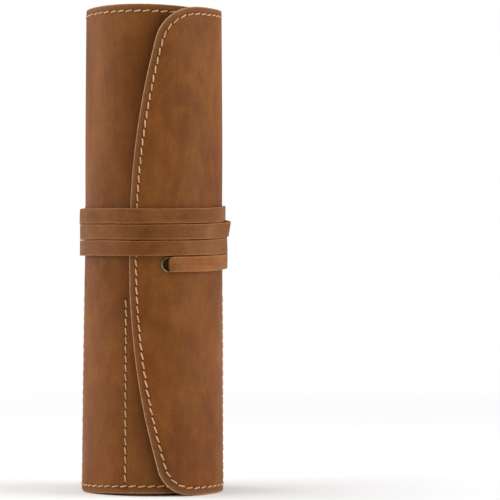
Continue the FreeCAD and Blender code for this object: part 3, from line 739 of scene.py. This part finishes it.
def add_stitching(kind, zone, holes, sunk=0.0):
    """A zone's stitches on one seam, outside and inside. `sunk` is how deep the outer row lies."""
    middle = (holes[:-1] + holes[1:]) / 2
    chosen = np.nonzero(zone_at(middle[:, 0]) == zone)[0]
    parts = []
    for run in np.split(chosen, np.nonzero(np.diff(chosen) > 1)[0] + 1):
        stretch = holes[run[0]:run[-1] + 2]
        inside = inner_depth(*middle[run].T)[:, None, None]
        parts.append(stitch_rings(stretch, sunk, 1, sheet_point, trim=0.06))
        parts.append(stitch_rings(stretch, inside, -1, sheet_point, slant=-0.2))
    rings, uv, marks = (np.concatenate(group) for group in zip(*parts))
    piece = add_tubes(f"{kind}_{zone}", rings, thread, uv, marks)
    bend_with_fold(piece, zone)
    return piece


# ---- the outer leather and its lining

EDGE_STEPS = np.array([
    0, 0.03, 0.1, 0.2, 0.32, 0.48, 0.75, 1.1, 1.5, 1.9, 2.2, 2.48, 2.75, 3.02, 3.3, 3.7, 4.2, 4.8,
])


def graded(length, count, close_first, close_last, steps=EDGE_STEPS):
    """Distances from 0 to each length, closer together beside a cut edge."""
    length = np.asarray(length, float)[..., None]
    first = steps + 0 * length if close_first else 0 * length
    last = length - steps[::-1] if close_last else length
    middle = np.linspace(first[..., -1], last[..., 0], count + 2, axis=-1)[..., 1:-1]
    return np.concatenate([first, middle, last], axis=-1)


def zone_grid(zone, column_gap, row_gap):
    """The (along, height) places of a zone's grid, with how many ghost columns it has at each end."""
    rows = graded(HEIGHT, round(HEIGHT / row_gap), True, True)
    if zone == 0:
        start = FLAP_RADIUS * np.arcsin(flap_edge(rows) / FLAP_RADIUS)
    else:
        start = along_at(CUTS[zone]) + 0 * rows
    length = along_at(CUTS[zone + 1]) - start
    count = round(float(length.max()) / column_gap)
    columns = graded(length, count, zone == 0, zone == ZONES[-1]).T + start
    ghosts = (int(zone != 0), int(zone != ZONES[-1]))
    if ghosts[0]:
        columns = np.concatenate([columns[:1] - column_gap, columns])
    if ghosts[1]:
        columns = np.concatenate([columns, columns[-1:] + column_gap])
    return columns, np.broadcast_to(rows, columns.shape).copy(), ghosts


def open_round(along, height, middle, radius):
    """Move the grid's points on to a round hole's edge, and say which cells to keep."""
    offset = paired(along, height) - middle
    cell = (offset[:-1, :-1] + offset[1:, :-1] + offset[1:, 1:] + offset[:-1, 1:]) / 4
    keep = np.linalg.norm(cell, axis=-1) > radius
    padded = np.pad(keep, 1, constant_values=True)
    beside = [padded[:-1, :-1], padded[1:, :-1], padded[:-1, 1:], padded[1:, 1:]]
    rim = np.any(beside, axis=0) & ~np.all(beside, axis=0)
    distance = np.maximum(np.linalg.norm(offset, axis=-1, keepdims=True), 1e-6)
    on_edge = middle + offset / distance * radius
    return np.where(rim, on_edge[..., 0], along), np.where(rim, on_edge[..., 1], height), keep


# Painted shade beside the flap's edge: how fast it fades, and how far it reaches.
FLAP_SHADE_REACH, FLAP_SHADOW = 6.5, 30.0
OUTER_ROUNDINGS, LINING_ROUNDINGS = (0.46, 0.3), (0.2, 0.22)
OUTER_GAPS, LINING_GAPS = [(0.42, 0.5)] + [(0.48, 0.6)] * 4 + [(0.8, 0.7)], (0.9, 1.0)
WORN_EDGE, WORN_MARGIN, MARGIN_WEAR, LINING_PULL = 0.26, 2.1, 0.13, 0.25


def painted_flap_shade(along, height):
    """Painted shade on the leather beside the flap's edge, where the lifted flap's shadow falls: darkest at
    the edge and fading away from it.
    """
    gap = along_at(360 + flap_edge_angle(height)) - along
    return np.where(gap < FLAP_SHADOW, np.exp(-np.maximum(gap, 0) / FLAP_SHADE_REACH), 0)


def add_layer(kind, zone, top, thickness, roundings, gaps, material):
    """One layer of the sheet in one zone, as a closed piece."""
    along, height, ghosts = zone_grid(zone, *gaps)
    keep = None
    if zone == 0:
        hole = (float(along_at(EYELET_ANGLE)), EYELET_HEIGHT)
        along, height, keep = open_round(along, height, hole, EYELET_BARREL + 0.05)
        keep = keep[ghosts[0]:along.shape[0] - ghosts[1] - 1]
    edge = edge_distance(along, height)
    pull, seam, holes = seam_relief(along, height, edge)
    depth_outer = top + rounding(edge, roundings[0])
    depth_inner = top + thickness - rounding(edge, roundings[1])
    if kind == "outer":
        depth_outer = depth_outer + pull
        # The outer leather's seam mark also carries painted shade beside the flap's edge.
        seam = seam + painted_flap_shade(along, height)
    else:
        depth_inner = depth_inner - LINING_PULL * pull
    outer = sheet_point(along, height, depth_outer)
    inner = sheet_point(along, height, depth_inner)
    worn = bell(edge, WORN_EDGE) + MARGIN_WEAR * bell(edge, WORN_MARGIN, 4)
    marks = np.stack([np.clip(worn, 0, 1), np.clip(seam, 0, 1), holes], axis=-1)
    uv = paired(along, height)
    piece = grid_solid(f"{kind}_{zone}", outer, inner, material, uv, marks, keep, ghosts)
    bend_with_fold(piece, zone)
    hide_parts(*replaced_nodes(kind, zone))


for zone in ZONES:
    add_layer("outer", zone, 0.0, OUTER_SKIN, OUTER_ROUNDINGS, OUTER_GAPS[zone], outer_leather)
    add_layer("lining", zone, LINING_TOP, LINING_SKIN, LINING_ROUNDINGS, LINING_GAPS, lining_suede)
    stitches = add_stitching("hem_stitching", zone, perimeter_holes)
    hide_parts(*replaced_nodes("stitching", zone))
for index in range(len(DIVIDERS)):
    stitches = add_stitching("divider_stitching", index + 1, divider_holes[index], 0.2)
    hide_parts(f"divider_seam_{index + 1}")

# ---- pen pockets

POCKET_SAMPLES, SEAM_FLANGE, FIRST_FLANGE, POCKET_FOOT, POCKET_SLUMP = 26, 1.1, 2.4, 0.3, 0.15
POCKET_ROUNDING, POCKET_OPENS = 0.28, (4.0, 19.0)


def on_lining(along):
    """The pocket leather's outer face where it lies flat on the lining."""
    angle = angle_at(along)
    arc = arc_at(angle)
    return CENTRES[arc] + (RADII[arc] - POCKET_TOP)[:, None] * outwards(angle)


def pocket_half(arc, first, last, middle, part):
    """Half of the way a pocket's leather takes over its pen, as (along, level point) samples.

    It is straight from the seam until it meets the pen, and then follows it to the crown."""
    inside, radius = RADII[arc] - POCKET_TOP, PEN_RADIUS + 0.1
    anchor_angle, side = (first, -1) if part == 0 else (last, 1)
    frame_axes = np.stack([onwards(middle), outwards(middle)])
    anchor = inside * (frame_axes @ outwards(anchor_angle))
    pen = np.array([0.0, inside - PEN_RADIUS - POCKET_BACK])
    gap = pen - anchor
    distance = np.hypot(*gap)
    turn = -side * math.asin(radius / distance)
    spin = np.array([[math.cos(turn), -math.sin(turn)], [math.sin(turn), math.cos(turn)]])
    touch = anchor + spin @ gap / distance * math.sqrt(distance**2 - radius**2)
    bearings = np.linspace(math.atan2(touch[0] - pen[0], pen[1] - touch[1]), 0, 24)
    path = np.vstack([anchor, pen + radius * paired(np.sin(bearings), -np.cos(bearings))])
    share = np.linspace(0, 1, POCKET_SAMPLES)
    along = along_at(anchor_angle) + share * (along_at(middle) - along_at(anchor_angle))
    full = CENTRES[arc] + places_along(path, share) @ frame_axes
    return (along, full) if part == 0 else (along[::-1], full[::-1])


def pocket_spans():
    """For each pocket: its arc, the angles where its leather leaves the lining, and its pen's angle."""
    spans = []
    closings = DIVIDERS[1:] + [SHEET_ENDS - math.degrees(SEAM_INSET / CORE_RADIUS)]
    for index, (divider, closing) in enumerate(zip(DIVIDERS, closings)):
        arc = min(index, 1) if index < 4 else 2
        flange = math.degrees(SEAM_FLANGE / RADII[arc])
        middle = FOLDS[index + 1] + (POCKET_ANGLE if index < 4 else CORE_POCKET_ANGLE)
        spans.append((arc, divider + flange, closing - flange, middle))
    return spans


def pocket_columns(zone, spans):
    """The pocket strip's samples in a zone, from the crown of one pocket to the crown of the next."""
    divider = float(along_at(DIVIDERS[zone - 1]))
    seam_start = divider - (FIRST_FLANGE if zone == 1 else SEAM_FLANGE)
    flat = np.linspace(seam_start, divider + SEAM_FLANGE, 12)
    parts = []
    if zone == 1:
        flat = np.concatenate([flat[:1], seam_start + EDGE_STEPS[1:5] * 0.4, flat[1:]])
    else:
        parts.append(pocket_half(*spans[zone - 2], 1))
    parts += [(flat, on_lining(flat)), pocket_half(*spans[zone - 1], 0)]
    if zone == ZONES[-1]:
        flat = np.linspace(float(along_at(spans[-1][2])), float(along_at(SHEET_ENDS)) - 0.5, 10)
        parts += [pocket_half(*spans[-1], 1), (flat, on_lining(flat))]
    first, *rest = parts
    return (np.concatenate([first[k]] + [part[k][1:] for part in rest]) for k in (0, 1))


def add_pocket(zone, spans, travelled):
    """The pocket leather across one divider: sewn flat at the seam and the hem, open at the top.

    `travelled` is the strip's length before this piece, and its length after the piece is returned."""
    alongs, full = pocket_columns(zone, spans)
    rows = POCKET_FOOT + graded(POCKET_HEIGHT - POCKET_FOOT, 90, True, True, EDGE_STEPS[:12])
    opening = smooth(rows, *POCKET_OPENS)[None, :, None]
    level = on_lining(alongs)[:, None, :] * (1 - opening) + full[:, None, :] * opening
    tangent = np.gradient(level, axis=0)
    tangent = tangent / np.maximum(np.linalg.norm(tangent, axis=-1, keepdims=True), 1e-9)
    inwards = paired(-tangent[..., 1], tangent[..., 0])
    edge = np.minimum(rows - POCKET_FOOT, POCKET_HEIGHT - rows)[None, :] + 0 * alongs[:, None]
    if zone == 1:
        edge = np.minimum(edge, (alongs - alongs[0])[:, None])
    if zone == ZONES[-1]:
        edge = np.minimum(edge, (alongs[-1] - alongs)[:, None])
    slump = POCKET_SLUMP * opening * smooth(rows, 50, POCKET_HEIGHT)[None, :, None]
    slump = slump * np.sin(alongs / 4.0)[:, None, None]
    heights = np.broadcast_to(rows, edge.shape)
    fall = rounding(edge, POCKET_ROUNDING)[..., None]
    outer = settle(at_height(level + inwards * (fall + slump), heights))
    inner = settle(at_height(level + inwards * (POCKET_SKIN - fall + slump), heights))
    aside = np.abs(alongs - along_at(DIVIDERS[zone - 1]))[:, None]
    seam = bell(np.minimum(aside, np.abs(heights - SEAM_INSET)), 0.9)
    marks = np.stack([bell(edge, 0.45), seam, 0 * edge], axis=-1)
    run = travelled + measured(full)
    uv = paired(run[:, None], heights)
    piece = grid_solid(f"pocket_strip_{zone}", outer, inner, pocket_leather, uv, marks)
    bend_with_fold(piece, zone)
    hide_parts(f"pocket_{zone}")
    return run[-1]


all_spans = pocket_spans()
strip_length = 0.0
for zone in ZONES[1:]:
    strip_length = add_pocket(zone, all_spans, strip_length)

# ---- the tie strap

STRAP_STIFFNESS = np.linspace(-12, 12, 9)
STRAP_SHADE, SHADE_GROWTH, TAIL_THINNING = 0.8, (100, 250), [(1140, 1158, 0.75)]
WIDTH_WAVES = [(0.014, 23, 0), (0.01, 7.3, 1), (0.006, 3.1, 0)]
HEIGHT_WAVES, TILT_WAVES = [(0.04, 31, 2), (0.02, 9.7, 0)], [(0.08, 41, 0)]
NECK_BEND, NECK_ASIDE, NECK_WIDTH, NECK_THICKNESS, NECK_FOOT = 0.95, 0.75, 3.2, 1.35, -2.72


def flatten_on_flap(piece):
    """Parent the piece to the flap_tip body and give it its own copy of its mesh; nothing is pressed flat.
    """
    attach(piece, "flap_tip")
    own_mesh(piece)


def skin_radius(angle):
    """How far the roll's outside is from its axis, with the gap under the flap's edge bridged."""
    angle = (np.asarray(angle, float) + 15) % 360 - 15
    offset = FLAP_RADIUS - BACK_RADIUS
    turn = np.radians(angle - BACK_STARTS)
    back = offset * np.cos(turn) + np.sqrt(BACK_RADIUS**2 - (offset * np.sin(turn)) ** 2)
    tangent = BACK_RADIUS + offset * math.cos(math.radians(BACK_STARTS - BRIDGE_ANGLE))
    beyond = np.clip(angle - BRIDGE_ANGLE, 0, 60)
    bridge = np.minimum(tangent / np.cos(np.radians(beyond)), FLAP_RADIUS)
    return np.where(angle <= BACK_STARTS, FLAP_RADIUS, np.where(angle <= BRIDGE_ANGLE, back, bridge))


def strap_skin(angle):
    """The skin as a stiff strap follows it, with every step rounded off."""
    return sum(skin_radius(angle + aside) for aside in STRAP_STIFFNESS) / len(STRAP_STIFFNESS)


def strap_height(turned):
    """Height of the strap's middle line after it has turned this far. It sags on the front's left."""
    turn, start, lag = np.radians(turned), math.radians(EYELET_ANGLE), math.radians(STRAP_LAG)
    climbed = turn - start - STRAP_SLACK * (np.sin(turn + lag) - math.sin(start + lag))
    return EYELET_HEIGHT + STRAP_PITCH / (2 * math.pi) * climbed + stepped(turned, STRAP_DIPS)


def strap_lift(turned):
    """How far the strap stands off the roll."""
    lift = START_LIFT * (1 - smooth(turned, EYELET_ANGLE + 3, EYELET_ANGLE + 14))
    return lift + stepped(turned, STRAP_LIFTS)


def on_roll(angle, stand_off, level):
    """The point at this angle and height that stands off the roll's outside."""
    angle, stand_off, level = np.broadcast_arrays(angle, stand_off, level)
    radius = strap_skin(angle) + STRAP_CLEARANCE + stand_off
    return settle(at_height(AXIS + radius[..., None] * outwards(angle), level))


def strap_section():
    """A flat strip's cut: (across, out) shares of its half width and half thickness, with its edge wear."""
    corner = np.radians([20, 45, 70])
    quarter = [(v, 1.0 + 0.03 * (1 - v * v)) for v in (0, 0.3, 0.55, 0.75, 0.88, 0.95)]
    quarter += list(zip(0.95 + 0.05 * np.sin(corner), 0.45 + 0.55 * np.cos(corner)))
    quarter = np.array(quarter + [(1.0, 0.3), (1.0, 0.0)])
    right = np.vstack([quarter, quarter[-2:0:-1] * [1, -1], [[0, -1.03]]])
    section = np.vstack([right, right[-2:0:-1] * [-1, 1]])
    section = np.roll(section, len(section) // 2, axis=0)
    across = np.abs(section[:, 0])
    return section, np.clip(bell(1 - across, 0.06) + 0.25 * (across > 0.86), 0, 1)


def strap_neck(section):
    """The strap's way up through the eyelet on to the flap, and the angle at which it lies flat."""
    surface = STRAP_CLEARANCE + START_LIFT + STRAP_THICKNESS / 2
    rise = surface - NECK_BEND
    turn = np.linspace(0, math.pi / 2, 12)
    straight = np.linspace(NECK_FOOT, rise, 9)[:-1]
    aside = NECK_ASIDE + NECK_BEND * np.concatenate([0 * straight, 1 - np.cos(turn)])
    stand_off = np.concatenate([straight, rise + NECK_BEND * np.sin(turn)])
    turned = np.concatenate([0 * straight, turn])
    width = NECK_WIDTH + (STRAP_WIDTH - NECK_WIDTH) * smooth(aside + stand_off, 1.0, 3.0)
    thin = NECK_THICKNESS + (STRAP_THICKNESS - NECK_THICKNESS) * smooth(np.degrees(turned), 10, 80)
    middle = np.append(AXIS, float(strap_height(EYELET_ANGLE)))
    middle = middle + (FLAP_RADIUS + stand_off)[:, None] * EYELET_OUT + aside[:, None] * EYELET_ASIDE
    facing = np.sin(turned)[:, None] * EYELET_OUT - np.cos(turned)[:, None] * EYELET_ASIDE
    neck = middle[:, None, :] + facing[:, None, :] * (section[:, 1:] * thin[:, None, None] / 2)
    neck = neck + (section[:, 0] * width[:, None] / 2)[..., None] * UPWARD
    return settle(neck), EYELET_ANGLE + math.degrees(math.atan2(aside[-1], FLAP_RADIUS + stand_off[-1]))


def strap_turns(section, turned):
    """The wound strap's rings, with the slight unevenness of a lace that was cut by hand."""
    across, out = section.T
    spread = STRAP_SPREAD * np.sin(np.radians(turned)) ** 2
    half = STRAP_WIDTH / 2 * (1 + waves(turned, WIDTH_WAVES)) + spread
    levels = (strap_height(turned) + waves(turned, HEIGHT_WAVES))[:, None] + across * half[:, None]
    tilt = waves(turned, TILT_WAVES) + stepped(turned, STRAP_TILTS)
    thickness = STRAP_THICKNESS - stepped(turned, TAIL_THINNING)
    stand_off = strap_lift(turned)[:, None] + thickness[:, None] / 2 * (1 + out) + tilt[:, None] * across
    return on_roll(turned[:, None], stand_off, levels)


def add_strap():
    """The whole strap, from behind the flap, up through the eyelet and round the roll to the tab."""
    section, wear = strap_section()
    neck, neck_end = strap_neck(section)
    turned = np.concatenate([[neck_end + 1.2], np.arange(neck_end + 2.6, STRAP_END, 1.5), [STRAP_END]])
    rings = np.concatenate([neck, strap_turns(section, turned)])
    girth = measured(section * [STRAP_WIDTH / 2, 1])
    uv = paired(measured(rings.mean(axis=1))[:, None], girth)
    marks = np.zeros((*rings.shape[:2], 3))
    marks[..., 0] = wear
    marks[len(neck):, :, 1] = STRAP_SHADE * smooth(turned, *SHADE_GROWTH)[:, None]
    piece = add_tubes("tie_strap_leather", rings[None], strap_leather, uv, marks)
    flatten_on_flap(piece)
    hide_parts("tie_strap")


add_strap()

# ---- the tab on the strap's end


def tab_middle(share):
    return TAB_ROOT_HEIGHT + (TAB_TIP_HEIGHT - TAB_ROOT_HEIGHT) * share


def tab_half_width(share):
    return TAB_TIP_HALF_WIDTH + (TAB_HALF_WIDTH - TAB_TIP_HALF_WIDTH) * (1 - np.asarray(share, float) ** 1.8)


TAB_LENGTH = math.radians(TAB_END - TAB_START) * (BACK_RADIUS + STRAP_CLEARANCE + TAB_BACK_THICKNESS)
TAB_TOP = TAB_BACK_THICKNESS + GLUE_LINE + TAB_FRONT_THICKNESS


def tab_point(onward, level, depth):
    """A place on the tab: how far from its root, how high above its middle, how deep below its face."""
    share = onward / TAB_LENGTH
    share = share - TAB_SLANT * level / TAB_LENGTH * (1 - share)
    skived = 1 - TAB_SKIVING * smooth(share, 0.78, 1.0)
    angle = TAB_START + (TAB_END - TAB_START) * share
    return on_roll(angle, (TAB_TOP - depth) * skived, tab_middle(share) + level)


def tab_edge_distance(onward, level):
    """How far a place on the tab is from its cut edge."""
    share = np.clip(onward / TAB_LENGTH, 0, 1)
    slope = np.gradient(tab_half_width(share), axis=0) / np.maximum(np.gradient(onward, axis=0), 1e-6)
    rim = (tab_half_width(share) - np.abs(level)) / np.sqrt(1 + slope**2)
    return np.maximum(np.minimum(np.minimum(onward, rim), TAB_LENGTH - onward), 0)


def tab_route():
    """The tab's seam: from its tip back along the top, down its root and forward along the bottom."""
    share = np.linspace(0.9, TAB_SEAM_INSET / TAB_LENGTH, 60)
    reach = tab_half_width(share) - TAB_SEAM_INSET
    top = paired(share * TAB_LENGTH, reach)[reach > 0.15]
    return np.vstack([top, (top * [1, -1])[::-1]])


TAB_PITCH = 3.1
tab_holes = seam_holes(tab_route(), TAB_PITCH)


TAB_ROUNDINGS, TAB_SEAM_PULL, TAB_HOLE_DEPTH, TAB_PILLOW = (0.42, 0.3), 0.13, 0.4, 0.22
WHOLE_TURNS = 3 * 360.0


def beside_strap_end(onward, level):
    """Which of the back leaf's cells to keep: it is notched where the strap's end lies in it."""
    degrees_on = (TAB_END - TAB_START) * onward / TAB_LENGTH
    strap_turn = np.clip(WHOLE_TURNS + TAB_START + degrees_on, 0, STRAP_END)
    offset = strap_height(strap_turn) - tab_middle(onward / TAB_LENGTH)
    reach = (STRAP_END - WHOLE_TURNS + 0.5 - TAB_START) / (TAB_END - TAB_START) * TAB_LENGTH
    cell_onward = (onward[:-1, :-1] + onward[1:, :-1]) / 2
    cell_level = (level[:-1, :-1] + level[1:, 1:]) / 2 - offset[:-1, :-1]
    return ~((cell_onward < reach) & (np.abs(cell_level) < STRAP_WIDTH / 2 + 0.35))


def add_tab_leaf(name, node, top, thickness, notched):
    """One of the tab's two leathers. The front one is sewn and padded, and the back one is notched."""
    onward = graded(TAB_LENGTH, 110, True, True)[:, None]
    across = graded(1.0, 20, True, False, EDGE_STEPS / TAB_HALF_WIDTH)
    across = np.concatenate([across - 1, (1 - across)[::-1][1:]])[None, :]
    level = across * tab_half_width(onward / TAB_LENGTH)
    onward = onward + 0 * level
    keep = beside_strap_end(onward, level) if notched else None
    edge = tab_edge_distance(onward, level)
    gap = np.hypot(onward[..., None] - tab_holes[:, 0], level[..., None] - tab_holes[:, 1]).min(axis=-1)
    sewn = 0 if notched else 1
    hole = sewn * bell(gap, 0.5)
    line = sewn * bell(edge - TAB_SEAM_INSET, 0.6)
    pillow = sewn * TAB_PILLOW * smooth(edge, TAB_SEAM_INSET, TAB_SEAM_INSET + 4.5)
    pull = TAB_SEAM_PULL * line + TAB_HOLE_DEPTH * hole - pillow
    outer = tab_point(onward, level, top + rounding(edge, TAB_ROUNDINGS[0]) + pull)
    inner = tab_point(onward, level, top + thickness - rounding(edge, TAB_ROUNDINGS[1]))
    # The hole mark paints shade into the tab's stitch holes.
    marks = np.stack([bell(edge, 0.42), np.clip(line, 0, 1), 0.8 * hole], axis=-1)
    uv = paired(onward, level + 40)
    piece = grid_solid(name, outer, inner, tab_leather, uv, marks, keep)
    flatten_on_flap(piece)
    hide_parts(node)


add_tab_leaf("tab_front_leaf", "tab_front", 0.0, TAB_FRONT_THICKNESS, False)
add_tab_leaf("tab_back_leaf", "tab_back", TAB_FRONT_THICKNESS + GLUE_LINE, TAB_BACK_THICKNESS, True)
tab_rings, tab_uv, tab_marks = stitch_rings(
    tab_holes, 0.0, 1, tab_point, radius=0.36, proud=0.16, slant=0.22, dive=6, trim=0.2,
)
tab_stitching = add_tubes("tab_stitching", tab_rings, thread, tab_uv, tab_marks)
flatten_on_flap(tab_stitching)
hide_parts("tab_seam")

# ---- the eyelet, its washer and the strap's stop

INSIDE_RADIUS = FLAP_RADIUS - POCKET_TOP
WASHER_OUTSIDE = math.sqrt(INSIDE_RADIUS**2 - EYELET_RADIUS**2) - FLAP_RADIUS
WASHER_INSIDE = WASHER_OUTSIDE - WASHER_THICKNESS
WASHER_HOLE = EYELET_BARREL + 0.04
STOP_OUTSIDE = WASHER_INSIDE - 0.03
STOP_THICKNESS, STOP_DOME, STOP_RIM, STOP_CENTRE = 0.25, 0.1, 0.1, 0.02
FLANGE_FOOT, FLANGE_CROWN = 0.12, 0.4


def rolled_flange():
    """The eyelet's cut: a barrel whose outer end is rolled over on to the leather."""
    crown = (EYELET_HOLE + EYELET_RADIUS) / 2
    reach = (EYELET_RADIUS - EYELET_HOLE) / 2
    turn = np.linspace(0, math.pi, 11)
    over = paired(crown - reach * np.cos(turn), FLANGE_FOOT + FLANGE_CROWN * np.sin(turn))
    inside = paired(EYELET_HOLE, np.linspace(WASHER_INSIDE, 0.0, 6))
    under = [(EYELET_RADIUS - 0.05, 0.0), (EYELET_BARREL + 0.1, -0.01), (EYELET_BARREL, -FLANGE_FOOT)]
    foot = [(EYELET_BARREL, WASHER_INSIDE + 0.05), (EYELET_BARREL - 0.06, WASHER_INSIDE)]
    return np.concatenate([inside, over, under, foot])


def washer_cut():
    """The washer's cut: flat, with rounded rims."""
    turn = np.linspace(0, 2 * math.pi, 16, endpoint=False)
    across = np.sign(np.cos(turn)) * np.abs(np.cos(turn)) ** 0.6
    radius = (WASHER_HOLE + EYELET_RADIUS) / 2 - (EYELET_RADIUS - WASHER_HOLE) / 2 * across
    return paired(radius, WASHER_INSIDE + WASHER_THICKNESS / 2 * (1 + np.sin(turn)))


def stop_cut():
    """The stop's cut: a thin disc with a narrow rim and a slightly domed back."""
    flat = STOP_RADIUS * (1 - STOP_RIM) * np.linspace(0, 1, 12)
    turn = np.linspace(0.3, math.pi - 0.3, 7)
    front = paired(flat + STOP_CENTRE, STOP_OUTSIDE)
    rim_radius = STOP_RADIUS * (1 - STOP_RIM * (1 - np.sin(turn)))
    rim = paired(rim_radius, STOP_OUTSIDE - STOP_THICKNESS / 2 * (1 + np.cos(turn)))
    dome = STOP_THICKNESS + STOP_DOME * np.sin(np.linspace(0, math.pi, 12))
    back = paired(flat[::-1] + STOP_CENTRE, STOP_OUTSIDE - dome)
    return np.concatenate([front, rim, back])


eyelet = add_ring("eyelet_ring", rolled_flange(), antique_brass)
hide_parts("eyelet")
washer = add_ring("eyelet_washer_ring", washer_cut(), antique_brass)
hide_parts("eyelet_washer")
stop = add_ring("strap_stop_disc", stop_cut(), strap_leather, 40)
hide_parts("strap_stop")
for piece in (eyelet, washer, stop):
    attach(piece, "flap_tip")

# ---- studio

CAMERA_DISTANCE, LENS, LOOK_ASIDE = 1.048, 190.0, 0.0387
FLOOR_RADIUS, FLOOR_DROP, FLOOR_FADES, FILL_STRENGTH = 14.0, 0.0002, (0.18, 0.8), 0.42
MIDDLE = Vector((0, 0, HEIGHT * MM / 2))


def add_floor():
    """A plain pale floor that runs into the white surroundings far from the roll."""
    place = (0, 0, -FLOOR_DROP)
    bpy.ops.mesh.primitive_circle_add(vertices=96, radius=FLOOR_RADIUS, fill_type="NGON", location=place)
    floor = bpy.context.object
    floor.name = "floor"
    material = bpy.data.materials.new("pale_floor")
    nodes = Nodes(material)
    near, far = FLOOR_FADES
    place = nodes.add("TexCoord").outputs["Object"]
    away = nodes.add("VectorMath", {0: place}, operation="LENGTH").outputs["Value"]
    reach = {"Value": away, "From Min": near, "From Max": far}
    fade = nodes.add("MapRange", reach, interpolation_type="SMOOTHSTEP").outputs["Result"]
    matt = nodes.add("BsdfDiffuse", {"Color": (0.9, 0.9, 0.9, 1)}).outputs[0]
    glow = nodes.add("Emission").outputs[0]
    mixed = nodes.add("MixShader", {0: fade, 1: matt, 2: glow}).outputs[0]
    nodes.add("OutputMaterial", {"Surface": mixed})
    floor.data.materials.append(material)


def aimed(name, data, place, aim):
    """An object for a light or a camera, at its place and turned towards its aim."""
    thing = bpy.data.objects.new(name, data)
    thing.location = place
    thing.rotation_euler = (Vector(aim) - Vector(place)).to_track_quat("-Z", "Y").to_euler()
    bpy.context.scene.collection.objects.link(thing)
    return thing


def add_softbox(name, place, width, tall, power):
    light = bpy.data.lights.new(name, "AREA")
    light.shape = "RECTANGLE"
    light.size, light.size_y = width, tall
    light.energy = power
    aimed(name, light, place, MIDDLE).visible_camera = False


def add_world():
    """Even studio fill, and a white backdrop behind it."""
    world = bpy.data.worlds.new("studio")
    nodes = Nodes(world)
    white = (1, 1, 1, 1)
    fill = nodes.add("Background", {"Color": white, "Strength": FILL_STRENGTH}).outputs[0]
    backdrop = nodes.add("Background", {"Color": white, "Strength": 1.0}).outputs[0]
    seen = nodes.add("LightPath").outputs["Is Camera Ray"]
    mixed = nodes.add("MixShader", {0: seen, 1: fill, 2: backdrop}).outputs[0]
    nodes.add("OutputWorld", {"Surface": mixed})
    bpy.context.scene.world = world


def add_camera():
    """Level with the roll's middle, straight in front of it, aimed a little to its right."""
    data = bpy.data.cameras.new("camera")
    data.lens, data.sensor_width = LENS, 36.0
    place = (0, -CAMERA_DISTANCE, MIDDLE.z)
    bpy.context.scene.camera = aimed("camera", data, place, (LOOK_ASIDE, 0, MIDDLE.z))


add_floor()
add_world()
add_camera()
add_softbox("softbox_left", (-1.0, 0.05, 0.5), 1.7, 1.5, 18.5)
add_softbox("softbox_right", (0.97, -0.2, 0.35), 0.8, 1.1, 11.5)
add_softbox("softbox_above", (0, 0, 1.3), 1.2, 1.2, 3.0)
bpy.context.scene.view_settings.view_transform = "Standard"
